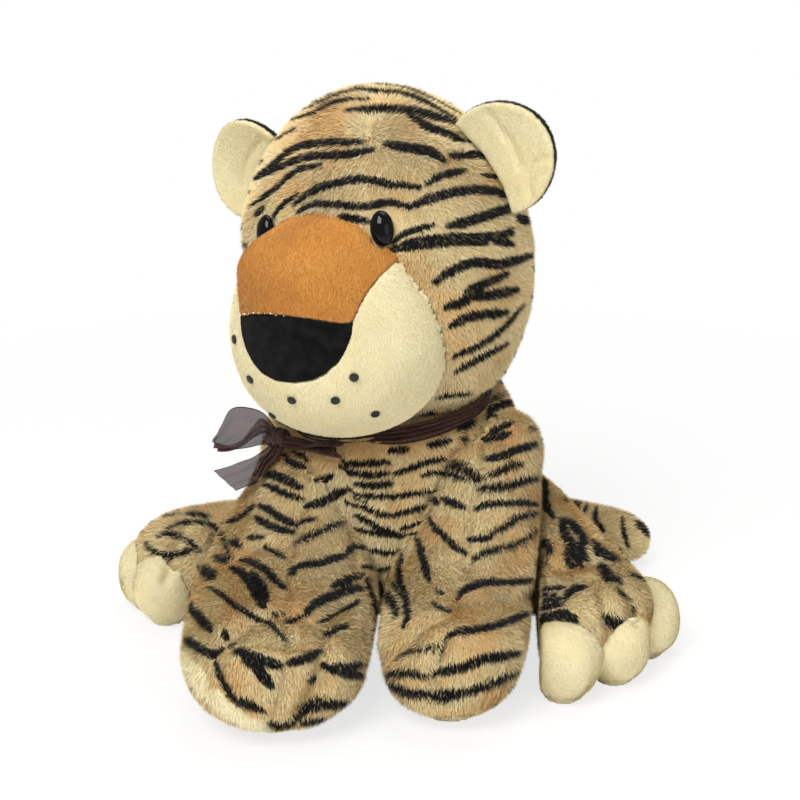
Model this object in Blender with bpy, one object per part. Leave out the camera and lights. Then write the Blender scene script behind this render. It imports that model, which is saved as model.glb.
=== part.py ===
"""Seated plush tiger, built from its sewn and stuffed pieces.

Frame: +Z up, the chest faces -Y, the tiger's left side is +X, metres.
The origin is the middle of the flat that the torso sits on. The soles of the front feet,
the toe pads of the hind feet and the tail are flat at Z = 0 too.
"""
import math

import bmesh
import bpy
from mathutils import Matrix, Vector
from mathutils.bvhtree import BVHTree

# Clearances
FIT_GAP = 0.0003            # air between two pieces that are sewn against each other
REST_CUT = 0.0005           # how deep the floor flattens a stuffed piece
OVERRUN = 0.004             # how far a cutting shape runs past what it cuts
SWEEP_STEP_DEG = 7.5        # spacing of the turned copies that clear a joint's path
BOW_STEP_DEG = 2.5          # closer for the thin pieces of the bow

# Torso
TORSO_WIDTH = 0.230
TORSO_DEPTH = 0.205
TORSO_WIDEST_Z = 0.078
TORSO_CROWN_Z = 0.264       # top of the egg before the neck plane cuts it
TORSO_SQUARE = 2.18         # power of the outline: 2 is an ellipse, more is boxier
TORSO_LEAN_SHARE = 0.175    # forward shift of the torso as a share of its height

# Neck: a flat sewn joint, tilted forward
NECK_X = -0.008
NECK_Y = -0.034
NECK_Z = 0.2180
NECK_TILT_DEG = 19.0

# Head
HEAD_WIDTH = 0.236
HEAD_FRONT = 0.101          # from the head's own axis to the forehead
HEAD_BACK = 0.103
HEAD_WIDEST_Z = 0.308
HEAD_TOP_Z = 0.441
HEAD_BASE_Z = 0.163         # bottom of the egg before the neck plane cuts it
HEAD_AXIS_Y = 0.006
HEAD_TURN_DEG = -27.0       # the head looks to the tiger's right
HEAD_ROLL_DEG = -8.0        # and leans to that side

# Muzzle with its sewn-on bridge and nose
MUZZLE_WIDTH = 0.166
MUZZLE_HEIGHT = 0.174
MUZZLE_LENGTH = 0.086       # from the muzzle's centre to its front
MUZZLE_CENTRE_Y = -0.068
MUZZLE_CENTRE_Z = 0.2740
MUZZLE_SQUARE = 2.1
MUZZLE_TAPER_SHARE = 0.12   # how much narrower the top is, and the bottom wider
PANEL_THICKNESS = 0.0045
BRIDGE_TOP_WIDTH = 0.145
BRIDGE_LOW_WIDTH = 0.088
BRIDGE_SEAM_Z = 0.2935      # seam between the bridge and the nose
BRIDGE_SEAM_SAG = 0.0025
NOSE_HEIGHT = 0.0440
NOSE_OFFSET = 0.008         # bridge and nose sit this far left of the muzzle's middle

# Whisker dots
DOT_RADIUS = 0.0033
DOT_HEIGHT = 0.0014

# Safety eyes
EYE_WIDTH = 0.0175
EYE_HEIGHT = 0.0265
EYE_DOME = 0.0085
EYE_SPACING = 0.0985
EYE_OFFSET = 0.0040          # the pair sits this far left of the head's middle
EYE_Z = 0.3450
EYE_RIM = 0.0016
EYE_CLEARANCE = 0.0006      # between an eye and the muzzle that gives way to it
SHANK_RADIUS = 0.0024
SHANK_LENGTH = 0.0165
WASHER_RADIUS = 0.0085
WASHER_THICKNESS = 0.0016
WASHER_DEPTH = 0.0090       # from the skin to the washer's outer face

# Ears
EAR_WIDTH = 0.086
EAR_REACH = 0.056           # from the hinge line to the ear's edge
EAR_BACK_THICKNESS = 0.0055
EAR_FRONT_THICKNESS = 0.0040
EAR_RIM = 0.0020            # how far the back shows round the front
EAR_CUP = 0.010
EAR_FILL = 0.0015           # how much the stuffing swells each side of the ear
EAR_TILT_DEG = 33.0         # rise of the ear above the horizontal
EAR_FRONT_TURN_DEG = 10.0
EAR_SET_BACK = 0.006
EAR_FOLD_BACK_DEG = 15.0
EAR_FOLD_FRONT_DEG = 22.5
EAR_STEP_DEG = 12.5         # spacing of the copies that clear the ear's path

# Front legs
SHOULDER_LEFT_SHARE = 0.3652   # sideways places and half widths are shares of the torso's width
SHOULDER_RIGHT_SHARE = -0.2609
SHOULDER_LEFT_X = TORSO_WIDTH * SHOULDER_LEFT_SHARE
SHOULDER_RIGHT_X = TORSO_WIDTH * SHOULDER_RIGHT_SHARE
SHOULDER_Y = -0.080
SHOULDER_LEFT_Z = 0.1820
SHOULDER_RIGHT_Z = 0.1500
SHOULDER_HALF_SHARE = 0.1739
SHOULDER_HALF_WIDTH = TORSO_WIDTH * SHOULDER_HALF_SHARE
SHOULDER_CAP = 0.0170       # the leg's rounded top, above the shoulder
FRONT_SHIN_HALF_SHARE = 0.2130
FRONT_SHIN_HALF_WIDTH = TORSO_WIDTH * FRONT_SHIN_HALF_SHARE
FRONT_LEFT_FOOT_SHARE = 0.2348
FRONT_RIGHT_FOOT_SHARE = -0.3326
FRONT_LEFT_FOOT_X = TORSO_WIDTH * FRONT_LEFT_FOOT_SHARE
FRONT_RIGHT_FOOT_X = TORSO_WIDTH * FRONT_RIGHT_FOOT_SHARE
FRONT_LEFT_FOOT_HALF_SHARE = 0.2413
FRONT_RIGHT_FOOT_HALF_SHARE = 0.3087
FRONT_LEFT_FOOT_HALF_WIDTH = TORSO_WIDTH * FRONT_LEFT_FOOT_HALF_SHARE
FRONT_RIGHT_FOOT_HALF_WIDTH = TORSO_WIDTH * FRONT_RIGHT_FOOT_HALF_SHARE
FRONT_FOOT_HEIGHT = 0.1000
FRONT_TOE_BLUNT = 2.7       # power of the toe end's outline: 2 is round, more is blunter
FRONT_RIGHT_TOE_SHIFT = 0.018   # how far the right foot's toes turn inwards
FRONT_SOLE_HEIGHT = 0.0140
FRONT_SOLE_TILT_DEG = 7.0
FRONT_LIFT_DEG = 22.5
FRONT_LEFT_REACH = 0.149    # from the shoulder forward to the toes
FRONT_RIGHT_REACH = 0.176

# Hind legs
HIP_SHARE = 0.3826
HIP_X = TORSO_WIDTH * HIP_SHARE      # sideways from the torso's middle to the thigh's root
HIP_LEFT_Z = 0.0700
HIP_RIGHT_Z = 0.0440
HIP_LEFT_Y = -0.016
HIP_RIGHT_Y = -0.008
THIGH_LEFT_HALF_HEIGHT = 0.0660
THIGH_RIGHT_HALF_HEIGHT = 0.0440
THIGH_HALF_WIDTH = 0.0540
HIND_LEFT_FOOT_HALF_WIDTH = 0.0600
HIND_RIGHT_FOOT_HALF_WIDTH = 0.0470
HIND_LEFT_FOOT_HEIGHT = 0.0930
HIND_RIGHT_FOOT_HEIGHT = 0.0840
HIND_LEFT_REACH = 0.161     # from the thigh's root to the front of the foot
HIND_RIGHT_REACH = 0.134
HIND_LEFT_AIM_DEG = 56.0    # measured from straight sideways to the front
HIND_RIGHT_AIM_DEG = 14.0
HIND_LEFT_TOE_TURN_DEG = 13.0   # the left foot's toes look further outwards than the leg
HIND_LEFT_HINGE_Y = 0.038   # the hip seam's end that stays shut when the leg swings
HIND_RIGHT_HINGE_Y = -0.070
HIND_SWING_DEG = 15.0
LEG_CLEARANCE = 0.0012      # between a hind leg and the front leg's whole path
TOE_RADIUS = 0.0280
TOE_HEIGHT = 0.0640
TOE_SQUARE = 2.2
TOE_COUNT = 3
TOE_LEFT_ARC_RADIUS = 0.140     # the toes of a foot stand on an arc of this radius
TOE_RIGHT_ARC_RADIUS = 0.034
TOE_LEFT_FAN_DEG = 20.5     # angle between neighbouring toes on the arc
TOE_RIGHT_FAN_DEG = 50.0

# Tail
TAIL_RADIUS = 0.0255
TAIL_ROOT_Y = 0.084
TAIL_ROOT_Z = 0.0480
TAIL_SIDE_REACH = 0.222
TAIL_TIP_Y = 0.066
TAIL_CURL = 0.030           # how far the tail bows out behind its root and tip
TAIL_SWING_DEG = 15.0

# Organza ribbon
RIBBON_WIDTH = 0.038
RIBBON_THICKNESS = 0.0012
BAND_HEIGHT = 0.0105        # the ribbon bunches to this height round the neck
BAND_THICKNESS = 0.0022
BOW_ANGLE_DEG = -48.0       # place of the knot round the neck, from the front
BOW_DROP = 0.0230           # how far the knot hangs below the neck seam
KNOT_RADIUS = 0.0085
RIGHT_LOOP_LENGTH = 0.045
RIGHT_LOOP_DEPTH = 0.022
LEFT_LOOP_LENGTH = 0.026
LEFT_LOOP_DEPTH = 0.010
RIGHT_END_LENGTH = 0.050
LEFT_END_LENGTH = 0.036

# Colours: red, green, blue, roughness
FUR_COLOUR = (0.58, 0.39, 0.17, 0.95)
CREAM_COLOUR = (0.85, 0.75, 0.48, 0.95)
EAR_COLOUR = (0.78, 0.68, 0.46, 0.95)
BRIDGE_COLOUR = (0.48, 0.21, 0.05, 0.95)
BLACK_FELT_COLOUR = (0.012, 0.011, 0.010, 1.0)
EYE_COLOUR = (0.005, 0.005, 0.005, 0.08)
WASHER_COLOUR = (0.8, 0.8, 0.78, 0.4)
RIBBON_COLOUR = (0.045, 0.015, 0.013, 0.55)

# Mesh fineness
BODY_SIDES = 28
BODY_RINGS = 16
TOE_SIDES = 16
TOE_RINGS = 10
LIMB_SIDES = 24
LIMB_RINGS = 14


def clear_objects():
    for item in list(bpy.data.objects):
        bpy.data.objects.remove(item, do_unlink=True)


def make_material(name, colour):
    red, green, blue, roughness = colour
    material = bpy.data.materials.new(name)
    material.use_nodes = True
    shader = material.node_tree.nodes["Principled BSDF"]
    shader.inputs["Base Color"].default_value = (red, green, blue, 1.0)
    shader.inputs["Roughness"].default_value = roughness
    shader.inputs["Metallic"].default_value = 0.0
    return material


def mesh_from(name, points, faces):
    mesh = bpy.data.meshes.new(name)
    mesh.from_pydata([tuple(point) for point in points], [], faces)
    mesh.update()
    shell = bmesh.new()
    shell.from_mesh(mesh)
    bmesh.ops.recalc_face_normals(shell, faces=shell.faces)
    if shell.calc_volume(signed=True) < 0:
        bmesh.ops.reverse_faces(shell, faces=shell.faces)
    shell.to_mesh(mesh)
    shell.free()
    mesh.shade_smooth()
    return mesh


def add_piece(name, mesh, material):
    piece = bpy.data.objects.new(name, mesh)
    bpy.context.collection.objects.link(piece)
    piece.data.materials.append(material)
    return piece


def add_cutter(name, mesh):
    cutter = bpy.data.objects.new(name, mesh)
    bpy.context.collection.objects.link(cutter)
    cutter.hide_render = True
    cutter.display_type = "WIRE"
    return cutter


def cut(piece, cutter, operation="DIFFERENCE"):
    step = piece.modifiers.new(cutter.name, "BOOLEAN")
    step.operation = operation
    step.solver = "EXACT"
    step.object = cutter


def moved(mesh, matrix, name):
    copy = mesh.copy()
    copy.name = name
    copy.transform(matrix)
    return copy


def swollen(mesh, amount, name):
    """A copy of a closed mesh, grown along its normals."""
    shell = bmesh.new()
    shell.from_mesh(mesh)
    shell.normal_update()
    for vertex in shell.verts:
        vertex.co += vertex.normal * amount
    copy = bpy.data.meshes.new(name)
    shell.to_mesh(copy)
    shell.free()
    return copy


def cut_flat(mesh, point, normal):
    """Remove what lies on the side that the normal points to, and close the cut."""
    shell = bmesh.new()
    shell.from_mesh(mesh)
    parts = list(shell.verts) + list(shell.edges) + list(shell.faces)
    made = bmesh.ops.bisect_plane(shell, geom=parts, plane_co=point, plane_no=normal, clear_outer=True)
    rim = [part for part in made["geom_cut"] if isinstance(part, bmesh.types.BMEdge)]
    bmesh.ops.edgenet_fill(shell, edges=rim)
    bmesh.ops.recalc_face_normals(shell, faces=shell.faces)
    shell.to_mesh(mesh)
    shell.free()
    return mesh


def rest_on_floor(mesh):
    """Lower or raise a stuffed form until the floor flattens it, and cut that flat."""
    lowest = min(vertex.co.z for vertex in mesh.vertices)
    mesh.transform(Matrix.Translation((0, 0, -REST_CUT - lowest)))
    return cut_flat(mesh, Vector((0, 0, 0)), Vector((0, 0, -1)))


def closed_rings(rings, start, end):
    """Faces that join rings of equal length and close both ends at a point."""
    sides = len(rings[0])
    points = [point for ring in rings for point in ring] + [start, end]
    first, last = len(points) - 2, len(points) - 1
    faces = []
    for row in range(len(rings) - 1):
        for side in range(sides):
            after = (side + 1) % sides
            low, high = row * sides, (row + 1) * sides
            faces.append((low + side, low + after, high + after, high + side))
    top = (len(rings) - 1) * sides
    for side in range(sides):
        after = (side + 1) % sides
        faces.append((first, after, side))
        faces.append((last, top + side, top + after))
    return points, faces


def signed_power(value, power):
    return math.copysign(abs(value) ** power, value)


def egg(name, centre, half_width, front, back, top, bottom, square=2.0, lean_share=0.0, taper_share=0.0,
        sides=BODY_SIDES, rows=BODY_RINGS):
    """A stuffed egg with its own front, back, top and bottom half sizes."""
    power = 2.0 / square
    rings = []
    for row in range(1, rows):
        rise = -math.pi / 2 + math.pi * row / rows
        height = signed_power(math.sin(rise), power)
        width = abs(math.cos(rise)) ** power
        z = height * (top if height > 0 else bottom)
        ring = []
        for side in range(sides):
            angle = 2 * math.pi * side / sides
            x = half_width * width * math.cos(angle) * (1 - taper_share * height)
            y = width * math.sin(angle) * (back if math.sin(angle) > 0 else front)
            ring.append(centre + Vector((x, y - lean_share * z, z)))
        rings.append(ring)
    low = centre + Vector((0, lean_share * bottom, -bottom))
    high = centre + Vector((0, -lean_share * top, top))
    return mesh_from(name, *closed_rings(rings, low, high))


def through(keys, amount):
    """Catmull-Rom value at amount (0 to 1) through equally spaced keys."""
    spans = len(keys) - 1
    place = min(max(amount * spans, 0.0), spans - 1e-9)
    index = int(place)
    share = place - index
    before = keys[max(index - 1, 0)]
    here, there = keys[index], keys[index + 1]
    beyond = keys[min(index + 2, spans)]
    return 0.5 * (2 * here + (there - before) * share
                  + (2 * before - 5 * here + 4 * there - beyond) * share ** 2
                  + (3 * here - before - 3 * there + beyond) * share ** 3)


def limb(name, spine, sides_half, heights_half, across, round_start, round_end, blunt=2.0):
    """A stuffed limb: oval rings along a smooth spine, with rounded ends.

    across is the direction that the first half size follows. round_start and round_end are
    the shares of the limb's length that its rounded ends take. blunt is the power of the far
    end's outline.
    """
    look_share = 0.02
    rings = []
    for row in range(1, LIMB_RINGS):
        amount = 0.5 - 0.5 * math.cos(math.pi * row / LIMB_RINGS)
        centre = through(spine, amount)
        ahead = through(spine, min(amount + look_share, 1.0))
        along = (ahead - through(spine, max(amount - look_share, 0.0))).normalized()
        side = (across - along * across.dot(along)).normalized()
        up = side.cross(along)
        fill = 1.0
        if amount < round_start:
            fill = math.sqrt(max(1 - ((round_start - amount) / round_start) ** 2, 0.0))
        if amount > 1 - round_end:
            fill *= max(1 - ((amount - 1 + round_end) / round_end) ** blunt, 0.0) ** (1 / blunt)
        wide = through(sides_half, amount) * fill
        tall = through(heights_half, amount) * fill
        ring = []
        for number in range(LIMB_SIDES):
            angle = 2 * math.pi * number / LIMB_SIDES
            ring.append(centre + side * wide * math.cos(angle) + up * tall * math.sin(angle))
        rings.append(ring)
    return mesh_from(name, *closed_rings(rings, spine[0].copy(), spine[-1].copy()))


def prism(name, outline, low_y, high_y):
    """An outline in X and Z, drawn out along Y."""
    count = len(outline)
    points = [Vector((x, low_y, z)) for x, z in outline] + [Vector((x, high_y, z)) for x, z in outline]
    faces = [tuple(range(count)), tuple(range(2 * count - 1, count - 1, -1))]
    for number in range(count):
        after = (number + 1) % count
        faces.append((number, number + count, after + count, after))
    return mesh_from(name, points, faces)


def turned(name, profile, sides, scale_x=1.0):
    """A profile of radius and height pairs turned about Z, closed on the axis at both ends."""
    rings = []
    for radius, height in profile[1:-1]:
        ring = []
        for number in range(sides):
            angle = 2 * math.pi * number / sides
            ring.append(Vector((radius * scale_x * math.cos(angle), radius * math.sin(angle), height)))
        rings.append(ring)
    start = Vector((0, 0, profile[0][1]))
    end = Vector((0, 0, profile[-1][1]))
    return mesh_from(name, *closed_rings(rings, start, end))


def hoop(name, inner, outer, low, high, sides):
    """A ring with a rectangular section about Z."""
    points = []
    for number in range(sides):
        angle = 2 * math.pi * number / sides
        for radius, height in ((inner, low), (outer, low), (outer, high), (inner, high)):
            points.append(Vector((radius * math.cos(angle), radius * math.sin(angle), height)))
    faces = []
    for number in range(sides):
        here = number * 4
        there = ((number + 1) % sides) * 4
        for corner in range(4):
            other = (corner + 1) % 4
            faces.append((here + corner, here + other, there + other, there + corner))
    return mesh_from(name, points, faces)


def strip(name, path, across, width, thickness):
    """A closed strip of ribbon: a path of points, widened along across."""
    points = []
    for number, place in enumerate(path):
        before = path[max(number - 1, 0)]
        after = path[min(number + 1, len(path) - 1)]
        along = (after - before).normalized()
        side = across[number].normalized()
        face = along.cross(side).normalized()
        wide, thick = width[number] / 2, thickness / 2
        for out, up in ((-wide, -thick), (wide, -thick), (wide, thick), (-wide, thick)):
            points.append(place + side * out + face * up)
    faces = [(0, 1, 2, 3)]
    for number in range(len(path) - 1):
        here, there = number * 4, (number + 1) * 4
        for corner in range(4):
            other = (corner + 1) % 4
            faces.append((here + corner, here + other, there + other, there + corner))
    last = (len(path) - 1) * 4
    faces.append((last + 3, last + 2, last + 1, last))
    return mesh_from(name, points, faces)


def turn_about(point, axis, degrees):
    turn = Matrix.Rotation(math.radians(degrees), 4, axis)
    return Matrix.Translation(point) @ turn @ Matrix.Translation(-point)


def sweep_angles(low, high, step):
    count = max(1, math.ceil((high - low) / step))
    return [low + (high - low) * number / count for number in range(count + 1)]


def clear_path(piece, keeper, label, point, axis, low, high, step=SWEEP_STEP_DEG):
    """Cut a moving piece by every place that the piece beside it takes, seen from the mover."""
    for number, degrees in enumerate(sweep_angles(low, high, step)):
        copy = moved(keeper, turn_about(point, axis, -degrees), f"{label}_{number}")
        cut(piece, add_cutter(f"{label}_{number}", copy))


def neck_frame():
    """Matrix of the tilted neck: its Z is the neck's axis, its origin on the seam."""
    tilt = Matrix.Rotation(math.radians(NECK_TILT_DEG), 4, "X")
    return Matrix.Translation((NECK_X, NECK_Y, NECK_Z)) @ tilt


def head_turn():
    """Matrix that sets the upright head on the neck, turned and rolled as it rests."""
    roll = Matrix.Translation((0, 0, HEAD_WIDEST_Z)) @ Matrix.Rotation(math.radians(HEAD_ROLL_DEG), 4, "Y")
    roll = roll @ Matrix.Translation((0, 0, -HEAD_WIDEST_Z))
    yaw = Matrix.Rotation(math.radians(HEAD_TURN_DEG), 4, "Z")
    return Matrix.Translation((NECK_X, NECK_Y, 0)) @ yaw @ roll


def neck_seam():
    """A point on the neck's seam plane."""
    return neck_frame().translation


def neck_axis():
    return neck_frame().to_3x3() @ Vector((0, 0, 1))


def torso_egg():
    centre = Vector((0, -TORSO_LEAN_SHARE * TORSO_WIDEST_Z, TORSO_WIDEST_Z))
    bottom = TORSO_WIDEST_Z + REST_CUT
    top = TORSO_CROWN_Z - TORSO_WIDEST_Z
    half, deep = TORSO_WIDTH / 2, TORSO_DEPTH / 2
    return egg("torso", centre, half, deep, deep, top, bottom, TORSO_SQUARE, TORSO_LEAN_SHARE)


def torso_form():
    mesh = cut_flat(torso_egg(), neck_seam() - neck_axis() * FIT_GAP, neck_axis())
    return cut_flat(mesh, Vector((0, 0, 0)), Vector((0, 0, -1)))


def neck_layer(grow, top_drop, name):
    """The torso's own shape at the neck, grown, from top_drop under the seam downwards."""
    layer = swollen(torso_egg(), grow, name)
    return cut_flat(layer, neck_seam() - neck_axis() * top_drop, neck_axis())


def head_form():
    centre = Vector((0, HEAD_AXIS_Y, HEAD_WIDEST_Z))
    top = HEAD_TOP_Z - HEAD_WIDEST_Z
    bottom = HEAD_WIDEST_Z - HEAD_BASE_Z
    return egg("head", centre, HEAD_WIDTH / 2, HEAD_FRONT, HEAD_BACK, top, bottom)


def muzzle_egg(grow, name):
    centre = Vector((0, MUZZLE_CENTRE_Y, MUZZLE_CENTRE_Z))
    half = MUZZLE_WIDTH / 2 + grow
    tall = MUZZLE_HEIGHT / 2 + grow
    reach = MUZZLE_LENGTH + grow
    return egg(name, centre, half, reach, half, tall, tall, MUZZLE_SQUARE, 0.0, MUZZLE_TAPER_SHARE)


def seam_height(x):
    """The bridge's lower seam sags in the middle."""
    half = BRIDGE_LOW_WIDTH / 2
    return BRIDGE_SEAM_Z - BRIDGE_SEAM_SAG * (1 - min((x / half) ** 2, 1.0))


def seam_points(raised):
    """Points from right to left along the seam between the bridge and the nose."""
    half, steps = BRIDGE_LOW_WIDTH / 2, 8
    rows = [half - 2 * half * number / steps for number in range(steps + 1)]
    return [(NOSE_OFFSET + x, seam_height(x) + raised) for x in rows]


def bridge_top(grow):
    high = BRIDGE_TOP_WIDTH / 2 + grow
    top = MUZZLE_CENTRE_Z + MUZZLE_HEIGHT / 2 + OVERRUN
    return [(NOSE_OFFSET - high, top), (NOSE_OFFSET + high, top)]


def nose_arc(grow):
    """The nose's round lower edge, from left to right as seen from behind."""
    half, steps, corner_share = BRIDGE_LOW_WIDTH / 2 + grow, 12, 0.8
    arc = []
    for number in range(steps + 1):
        angle = math.pi + math.pi * number / steps
        x = half * signed_power(math.cos(angle), corner_share)
        arc.append((NOSE_OFFSET + x, BRIDGE_SEAM_Z + (NOSE_HEIGHT + grow) * math.sin(angle)))
    return arc


def bridge_outline():
    return seam_points(FIT_GAP / 2) + bridge_top(0)


def nose_outline():
    return nose_arc(0)[1:-1] + seam_points(-FIT_GAP / 2)


def pocket_outline():
    return nose_arc(FIT_GAP) + list(reversed(bridge_top(FIT_GAP)))


def surface_point(mesh, start, direction):
    """Where a ray from inside a form leaves it, with the surface's normal."""
    shell = bmesh.new()
    shell.from_mesh(mesh)
    tree = BVHTree.FromBMesh(shell)
    place, normal, _, _ = tree.ray_cast(start, direction)
    shell.free()
    if normal.dot(direction) < 0:
        normal = -normal
    return place, normal


def facing(place, normal, upright):
    """Matrix whose Z is the normal and whose Y leans towards upright."""
    z_axis = normal.normalized()
    x_axis = upright.cross(z_axis).normalized()
    y_axis = z_axis.cross(x_axis)
    turn = Matrix((x_axis, y_axis, z_axis)).transposed().to_4x4()
    return Matrix.Translation(place) @ turn


def build_muzzle(turn, head, materials):
    shape = muzzle_egg(0, "muzzle")
    far_y = MUZZLE_CENTRE_Y - MUZZLE_LENGTH - OVERRUN
    behind = swollen(head, FIT_GAP, "head_swollen")
    muzzle_mesh = cut_flat(moved(shape, turn, "muzzle"), neck_seam(), -neck_axis())
    muzzle = add_piece("muzzle", muzzle_mesh, materials["cream_plush"])
    cut(muzzle, add_cutter("muzzle_seat_cut", moved(behind, turn, "muzzle_seat_cut")))
    pocket_mesh = prism("panel_pocket", pocket_outline(), MUZZLE_CENTRE_Y, far_y)
    pocket = add_cutter("panel_pocket", moved(pocket_mesh, turn, "panel_pocket"))
    floor = muzzle_egg(-PANEL_THICKNESS - FIT_GAP, "pocket_floor")
    cut(pocket, add_cutter("pocket_floor", moved(floor, turn, "pocket_floor")))
    cut(muzzle, pocket)
    core = muzzle_egg(-PANEL_THICKNESS, "muzzle_core")
    for name, outline, material in (("muzzle_bridge", bridge_outline(), "bridge_plush"),
                                    ("nose", nose_outline(), "nose_felt")):
        panel_mesh = prism(name, outline, MUZZLE_CENTRE_Y, far_y)
        panel = add_piece(name, moved(panel_mesh, turn, name), materials[material])
        cut(panel, add_cutter(name + "_skin", moved(shape, turn, name + "_skin")), "INTERSECT")
        cut(panel, add_cutter(name + "_core", moved(core, turn, name + "_core")))
        cut(panel, add_cutter(name + "_seat_cut", moved(behind, turn, name + "_seat_cut")))
    build_whisker_dots(shape, turn, materials)


def build_whisker_dots(shape, turn, materials):
    """Embroidered dots, at shares of the muzzle's half width and half height from its centre."""
    dot_shares = {
        "left_inner": (0.414, -0.457), "left_upper": (0.606, -0.269), "left_lower": (0.607, -0.648),
        "right_inner": (0.031, -0.443), "right_upper": (-0.407, -0.287), "right_lower": (-0.371, -0.655),
        "right_side": (-0.560, 0.038),
    }
    rim_share, crown_share = 0.5, 0.6
    profile = [(0, 0), (DOT_RADIUS, 0), (DOT_RADIUS, DOT_HEIGHT * rim_share),
               (DOT_RADIUS * crown_share, DOT_HEIGHT), (0, DOT_HEIGHT)]
    centre = Vector((0, MUZZLE_CENTRE_Y, MUZZLE_CENTRE_Z))
    for label, (across, rise) in dot_shares.items():
        start = centre + Vector((across * MUZZLE_WIDTH / 2, 0, rise * MUZZLE_HEIGHT / 2))
        place, normal = surface_point(shape, start, Vector((0, -1, 0)))
        seat = facing(place + normal * FIT_GAP, normal, Vector((0, 0, 1)))
        name = "whisker_dot_" + label
        dot = moved(turned(name, profile, 10), turn @ seat, name)
        add_piece(name, dot, materials["black_thread"])


def eye_profile(grow, foot):
    """Dome of an eye above its rim, and below it whatever outline foot gives."""
    half = EYE_HEIGHT / 2 + grow
    dome = EYE_DOME + grow - EYE_RIM
    steps = 6
    profile = foot + [(half, EYE_RIM)]
    for number in range(1, steps):
        angle = math.pi / 2 * number / steps
        profile.append((half * math.cos(angle), EYE_RIM + dome * math.sin(angle)))
    return profile + [(0, EYE_RIM + dome)]


def build_eyes(turn, head, head_piece, materials):
    """Domed eyes on shanks, held by washers inside the head. The muzzle's rim gives way to them."""
    slim = EYE_WIDTH / EYE_HEIGHT
    shank = SHANK_RADIUS / slim
    under_rim = (EYE_HEIGHT / 2 - EYE_RIM, FIT_GAP)
    foot = [(0, -SHANK_LENGTH), (shank, -SHANK_LENGTH), (shank, FIT_GAP), under_rim]
    wide = EYE_HEIGHT / 2 + EYE_CLEARANCE
    room_foot = [(0, -EYE_DOME), (wide, -EYE_DOME)]
    hole = shank + FIT_GAP / slim
    low, high = -WASHER_DEPTH - WASHER_THICKNESS, -WASHER_DEPTH
    bore_end = -SHANK_LENGTH - FIT_GAP
    bore_profile = [(0, bore_end), (hole, bore_end), (hole, OVERRUN), (0, OVERRUN)]
    around = WASHER_RADIUS + FIT_GAP
    under, over = low - FIT_GAP, high + FIT_GAP
    pocket_profile = [(0, under), (around, under), (around, over), (0, over)]
    for side, label in ((1, "left"), (-1, "right")):
        start = Vector((EYE_OFFSET + side * EYE_SPACING / 2, 0, EYE_Z))
        place, normal = surface_point(head, start, Vector((0, -1, 0)))
        seat = turn @ facing(place, normal, Vector((0, 0, 1)))
        eye = turned("eye_" + label, eye_profile(0, foot), 20, slim)
        add_piece("eye_" + label, moved(eye, seat, "eye_" + label), materials["eye_plastic"])
        room = turned("eye_room", eye_profile(EYE_CLEARANCE, room_foot), 20, slim)
        for name in ("muzzle", "muzzle_bridge"):
            cutter_name = f"eye_room_{name}_{label}"
            cut(bpy.data.objects[name], add_cutter(cutter_name, moved(room, seat, cutter_name)))
        washer = moved(hoop("washer", hole, WASHER_RADIUS, low, high, 20), seat, "eye_washer_" + label)
        washer.shade_flat()
        add_piece("eye_washer_" + label, washer, materials["washer_plastic"])
        bore = turned("eye_bore", bore_profile, 20)
        cut(head_piece, add_cutter("eye_bore_" + label, moved(bore, seat, "eye_bore_" + label)))
        pocket = turned("washer_pocket", pocket_profile, 20)
        cut(head_piece, add_cutter("washer_pocket_" + label, moved(pocket, seat, "washer_pocket_" + label)))


def ear_layer(name, low, high, low_bulge, high_bulge, inset, side):
    """One layer of the cupped ear, in the ear's own frame: X along the root, Y outwards, Z to the front."""
    rings_count, sides, edge_share = 5, 28, 0.35
    half = EAR_WIDTH / 2
    points, faces, rims = [], [], []
    for height, bulge in ((low, low_bulge), (high, high_bulge)):
        rows = []
        for ring in range(rings_count + 1):
            share = ring / rings_count
            row = []
            for number in range(sides if ring else 1):
                angle = 2 * math.pi * number / sides
                x = share * (half - inset) * math.cos(angle)
                y = EAR_REACH - half + share * (half - inset) * math.sin(angle)
                dish = EAR_CUP * ((x / half) ** 2 + edge_share * max(y / EAR_REACH, 0.0) ** 2)
                row.append(len(points))
                points.append(Vector((x * side, y, height + dish + bulge * (1 - share ** 2))))
            rows.append(row)
        for number in range(sides):
            after = (number + 1) % sides
            faces.append((rows[0][0], rows[1][number], rows[1][after]))
            for inner, outer in zip(rows[1:], rows[2:]):
                faces.append((inner[number], outer[number], outer[after], inner[after]))
        rims.append(rows[-1])
    for number in range(sides):
        after = (number + 1) % sides
        faces.append((rims[0][number], rims[1][number], rims[1][after], rims[0][after]))
    return mesh_from(name, points, faces)


def ear_frame(head, side):
    """Root of an ear on the head: Y outwards along the ear, Z to the front."""
    rise = math.radians(EAR_TILT_DEG)
    yaw = math.radians(EAR_FRONT_TURN_DEG) * side
    outward = Vector((math.cos(rise) * side, 0, math.sin(rise)))
    start = Vector((0, EAR_SET_BACK, HEAD_WIDEST_Z))
    root, _ = surface_point(head, start, outward)
    front = Vector((0, -1, 0))
    front = (Matrix.Rotation(yaw, 3, "Z") @ front)
    front = (front - outward * front.dot(outward)).normalized()
    along = outward.cross(front)
    turn = Matrix((along, outward, front)).transposed().to_4x4()
    return Matrix.Translation(root) @ turn


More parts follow.
